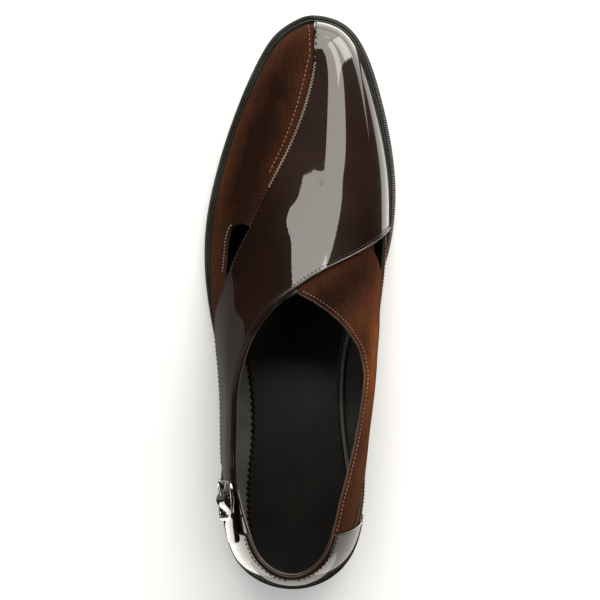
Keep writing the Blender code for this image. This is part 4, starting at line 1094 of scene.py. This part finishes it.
buckle = {
    "run": 0.1975, "around": 0.197, "length": 0.0205, "halfAround": 0.062,
    "wire": 0.001, "bar": 0.0008, "barAway": 0.0027, "corner": 5,
    # place along the frame, how far it stands off the last there
    "away": [(-1.0, 0.0043), (0.0, 0.0032), (1.0, 0.0031)],
    "prong": 0.0007, "prongTurn": (250, 80), "prongRises": (0.25, 0.5, 0.75, 0.95),
    "strapThickness": 0.0009, "strapRuns": [0.1445, 0.15, 0.156, 0.162, 0.168, 0.174, 0.179],
    "strapLow": 0.155, "strapHigh": 0.238, "strapLift": 0.0002, "foldTurn": (-90, 205),
}
buckleRunLength = float(runLength(np.array([buckle["run"]]), np.array([buckle["around"]]))[0])


def buildBuckle():
    turn = np.linspace(0, 2 * np.pi, 121)[:-1]
    share, height = (np.sign(part) * np.abs(part) ** (2 / buckle["corner"])
                     for part in (np.cos(turn), np.sin(turn)))
    run = buckle["run"] + share * (buckle["length"] / 2 - buckle["wire"]) / buckleRunLength
    away = np.interp(share, *np.array(buckle["away"]).T)
    piece = Piece()
    tube(piece, skin(run, buckle["around"] + height * buckle["halfAround"], away), buckle["wire"], closed=True)
    bar = buckle["around"] + np.linspace(-1, 1, 21) * buckle["halfAround"]
    tube(piece, skin(buckle["run"], bar, buckle["barAway"]), buckle["bar"])
    piece.build("buckleFrame", [brightMetal], ["buckle_frame"])


def buildProng():
    prong = buckle["prong"]
    radius = buckle["bar"] + last["gap"] + prong
    turn = np.radians(np.linspace(*buckle["prongTurn"], 25))
    reach = buckle["length"] / 2 - buckle["wire"]
    rest = buckle["away"][-1][1] - buckle["barAway"] + buckle["wire"] + last["gap"] + prong
    path = np.array([*zip(radius * np.cos(turn), radius * np.sin(turn)),
                     *((reach * rise, radius + (rest - radius) * rise) for rise in buckle["prongRises"]),
                     (reach + prong, rest), (reach + 2 * prong, rest)])
    thin = np.full(len(path), prong)
    thin[-1] *= 0.5
    piece = Piece()
    along, away = buckle["run"] + path[:, 0] / buckleRunLength, buckle["barAway"] + path[:, 1]
    tube(piece, skin(along, buckle["around"], away), thin)
    piece.build("bucklePin", [brightMetal], ["buckle_prong"])


def buildFold():
    thick = buckle["strapThickness"]
    radius = buckle["bar"] + last["gap"] + thick / 2
    lying = last["gap"] + buckle["strapLift"] + thick / 2
    turn = np.radians(np.linspace(*buckle["foldTurn"], 41))
    bar = (buckle["run"] * buckleRunLength, buckle["barAway"])
    loop = radius * np.stack([np.cos(turn), np.sin(turn)], 1) + bar
    path = np.concatenate([[[run * buckleRunLength, lying] for run in buckle["strapRuns"]], loop])
    tangent = np.gradient(path, axis=0)
    tangent /= np.linalg.norm(tangent, axis=1, keepdims=True)
    side = np.stack([tangent[:, 1], -tangent[:, 0]], 1) * thick / 2
    around = np.linspace(buckle["strapLow"], buckle["strapHigh"], 25)[None, :]
    outer, inner = (skin(line[:, :1] / buckleRunLength, around, line[:, 1:])
                    for line in (path + side, path - side))
    piece = Piece()
    piece.grid(outer)
    piece.grid(inner)
    for edge in (0, -1, np.s_[:, 0], np.s_[:, -1]):
        piece.strip(outer[edge], inner[edge])
    piece.build("buckleStrap", [patent], ["buckle_strap"])


buildBuckle()
buildProng()
buildFold()
print("buckle fastened")

studio = {
    "world": 0.72,
    "floor": (0.8, 0.8, 0.8),
    # half the floor's width, where its back wall stands, the wall's height
    "room": (3, 2.6, 1.2),
    # middle, size x and y, brightness, what it faces, only seen as a gleam
    "lamps": [
        ((0.32, 1.345, 1.0), (1.96, 1.7), 6.4, (0.32, 1.345, 0.0), False),
        ((-1.25, -0.15, 0.34), (1.3, 0.42), 0.6, (0.0, -0.05, 0.04), False),
        ((1.1, -0.45, 0.75), (0.6, 0.8), 1.4, (0.0, -0.03, 0.04), False),
        ((0.265, 0.507, 0.122), (0.584, 0.244), 5.8, (0.02, 0.13, 0.122), True),
        ((0.1385, 0.2162, 0.095), (0.067, 0.186), 5.8, (0.0165, 0.1742, 0.095), True),
        ((0.13, 0.325, 0.002), (0.3, 0.37), 3.2, (0.13, 0.325, 1.0), True),
        ((0.072, 0.01, 0.002), (0.034, 0.25), 2.2, (0.072, 0.01, 1.0), True),
        ((0.19, -0.17, 0.002), (0.29, 0.15), 1.0, (0.19, -0.17, 1.0), True),
        ((-0.19, -0.2, 0.002), (0.29, 0.16), 2.7, (-0.19, -0.2, 1.0), True),
        ((-0.2, -0.02, 0.002), (0.29, 0.17), 0.26, (-0.2, -0.02, 1.0), True),
        ((0.0, -0.33, 0.002), (0.22, 0.3), 0.95, (0.0, -0.33, 1.0), True),
    ],
    "lampColour": (1.0, 0.965, 0.88),
    # dark card under the near corner of the large lamp
    "card": [
        (0.42, 0.4), (0.42, 0.528), (0.1, 0.536), (-0.17, 0.568), (-0.53, 0.73), (-0.67, 0.83), (-0.72, 1.15),
        (-1.1, 1.15), (-1.1, 0.4),
    ],
    "cardHeight": 0.985,
    "lens": 135,
    "distance": 1.6,
    # height of the picture, at this height above the floor
    "frameHeight": 0.3135,
    "frameLevel": 0.03,
}


def placed(thing):
    bpy.context.scene.collection.objects.link(thing)
    return thing


def sheetOf(name, corners, faces, material):
    mesh = bpy.data.meshes.new(name)
    mesh.from_pydata(corners, [], faces)
    mesh.materials.append(material)
    return placed(bpy.data.objects.new(name, mesh))


def buildRoom():
    scene = bpy.context.scene
    world = scene.world = bpy.data.worlds.new("studio")
    world.use_nodes = True
    sky = world.node_tree.nodes["Background"].inputs
    sky["Color"].default_value = (1, 1, 1, 1)
    sky["Strength"].default_value = studio["world"]
    world.cycles_visibility.glossy = False
    scene.view_settings.view_transform = "Standard"
    half, back, top = studio["room"]
    values = {"Base Color": (*studio["floor"], 1), "Roughness": 0.9, "Specular IOR Level": 0.1}
    paint = nodesOf("floorPaint", values)[0]
    corners = [(-half, -half, 0), (half, -half, 0), (half, back, 0), (-half, back, 0),
               (half, back, top), (-half, back, top)]
    floor = sheetOf("floor", corners, [(0, 1, 2, 3), (3, 2, 4, 5)], paint)
    floor.visible_glossy = False
    corners = [(*corner, studio["cardHeight"]) for corner in studio["card"]]
    cardThing = sheetOf("card", corners, [range(len(corners))], darkThread)
    cardThing.visible_camera = cardThing.visible_diffuse = cardThing.visible_shadow = False


def lightRoom():
    # gleams light only what shines: they stand for the pale floor seen in the patent leather
    for i, (place, size, brightness, target, gleam) in enumerate(studio["lamps"]):
        lamp = bpy.data.lights.new("softbox%d" % i, "AREA")
        lamp.shape = "RECTANGLE"
        lamp.size, lamp.size_y = size
        lamp.energy = brightness * math.pi * size[0] * size[1]
        lamp.color = studio["lampColour"]
        thing = placed(bpy.data.objects.new(lamp.name, lamp))
        thing.visible_camera = False
        thing.visible_diffuse = not gleam
        thing.location = place
        thing.rotation_euler = (Vector(target) - Vector(place)).to_track_quat("-Z", "Y").to_euler()


def setCamera():
    camera = bpy.data.cameras.new("camera")
    camera.lens = studio["lens"]
    camera.sensor_width = camera.lens * studio["frameHeight"] / (studio["distance"] - studio["frameLevel"])
    thing = placed(bpy.data.objects.new("camera", camera))
    thing.location = (0.0, 0.0, studio["distance"])
    bpy.context.scene.camera = thing


buildRoom()
lightRoom()
setCamera()
print("studio lit")
print("ready to render")
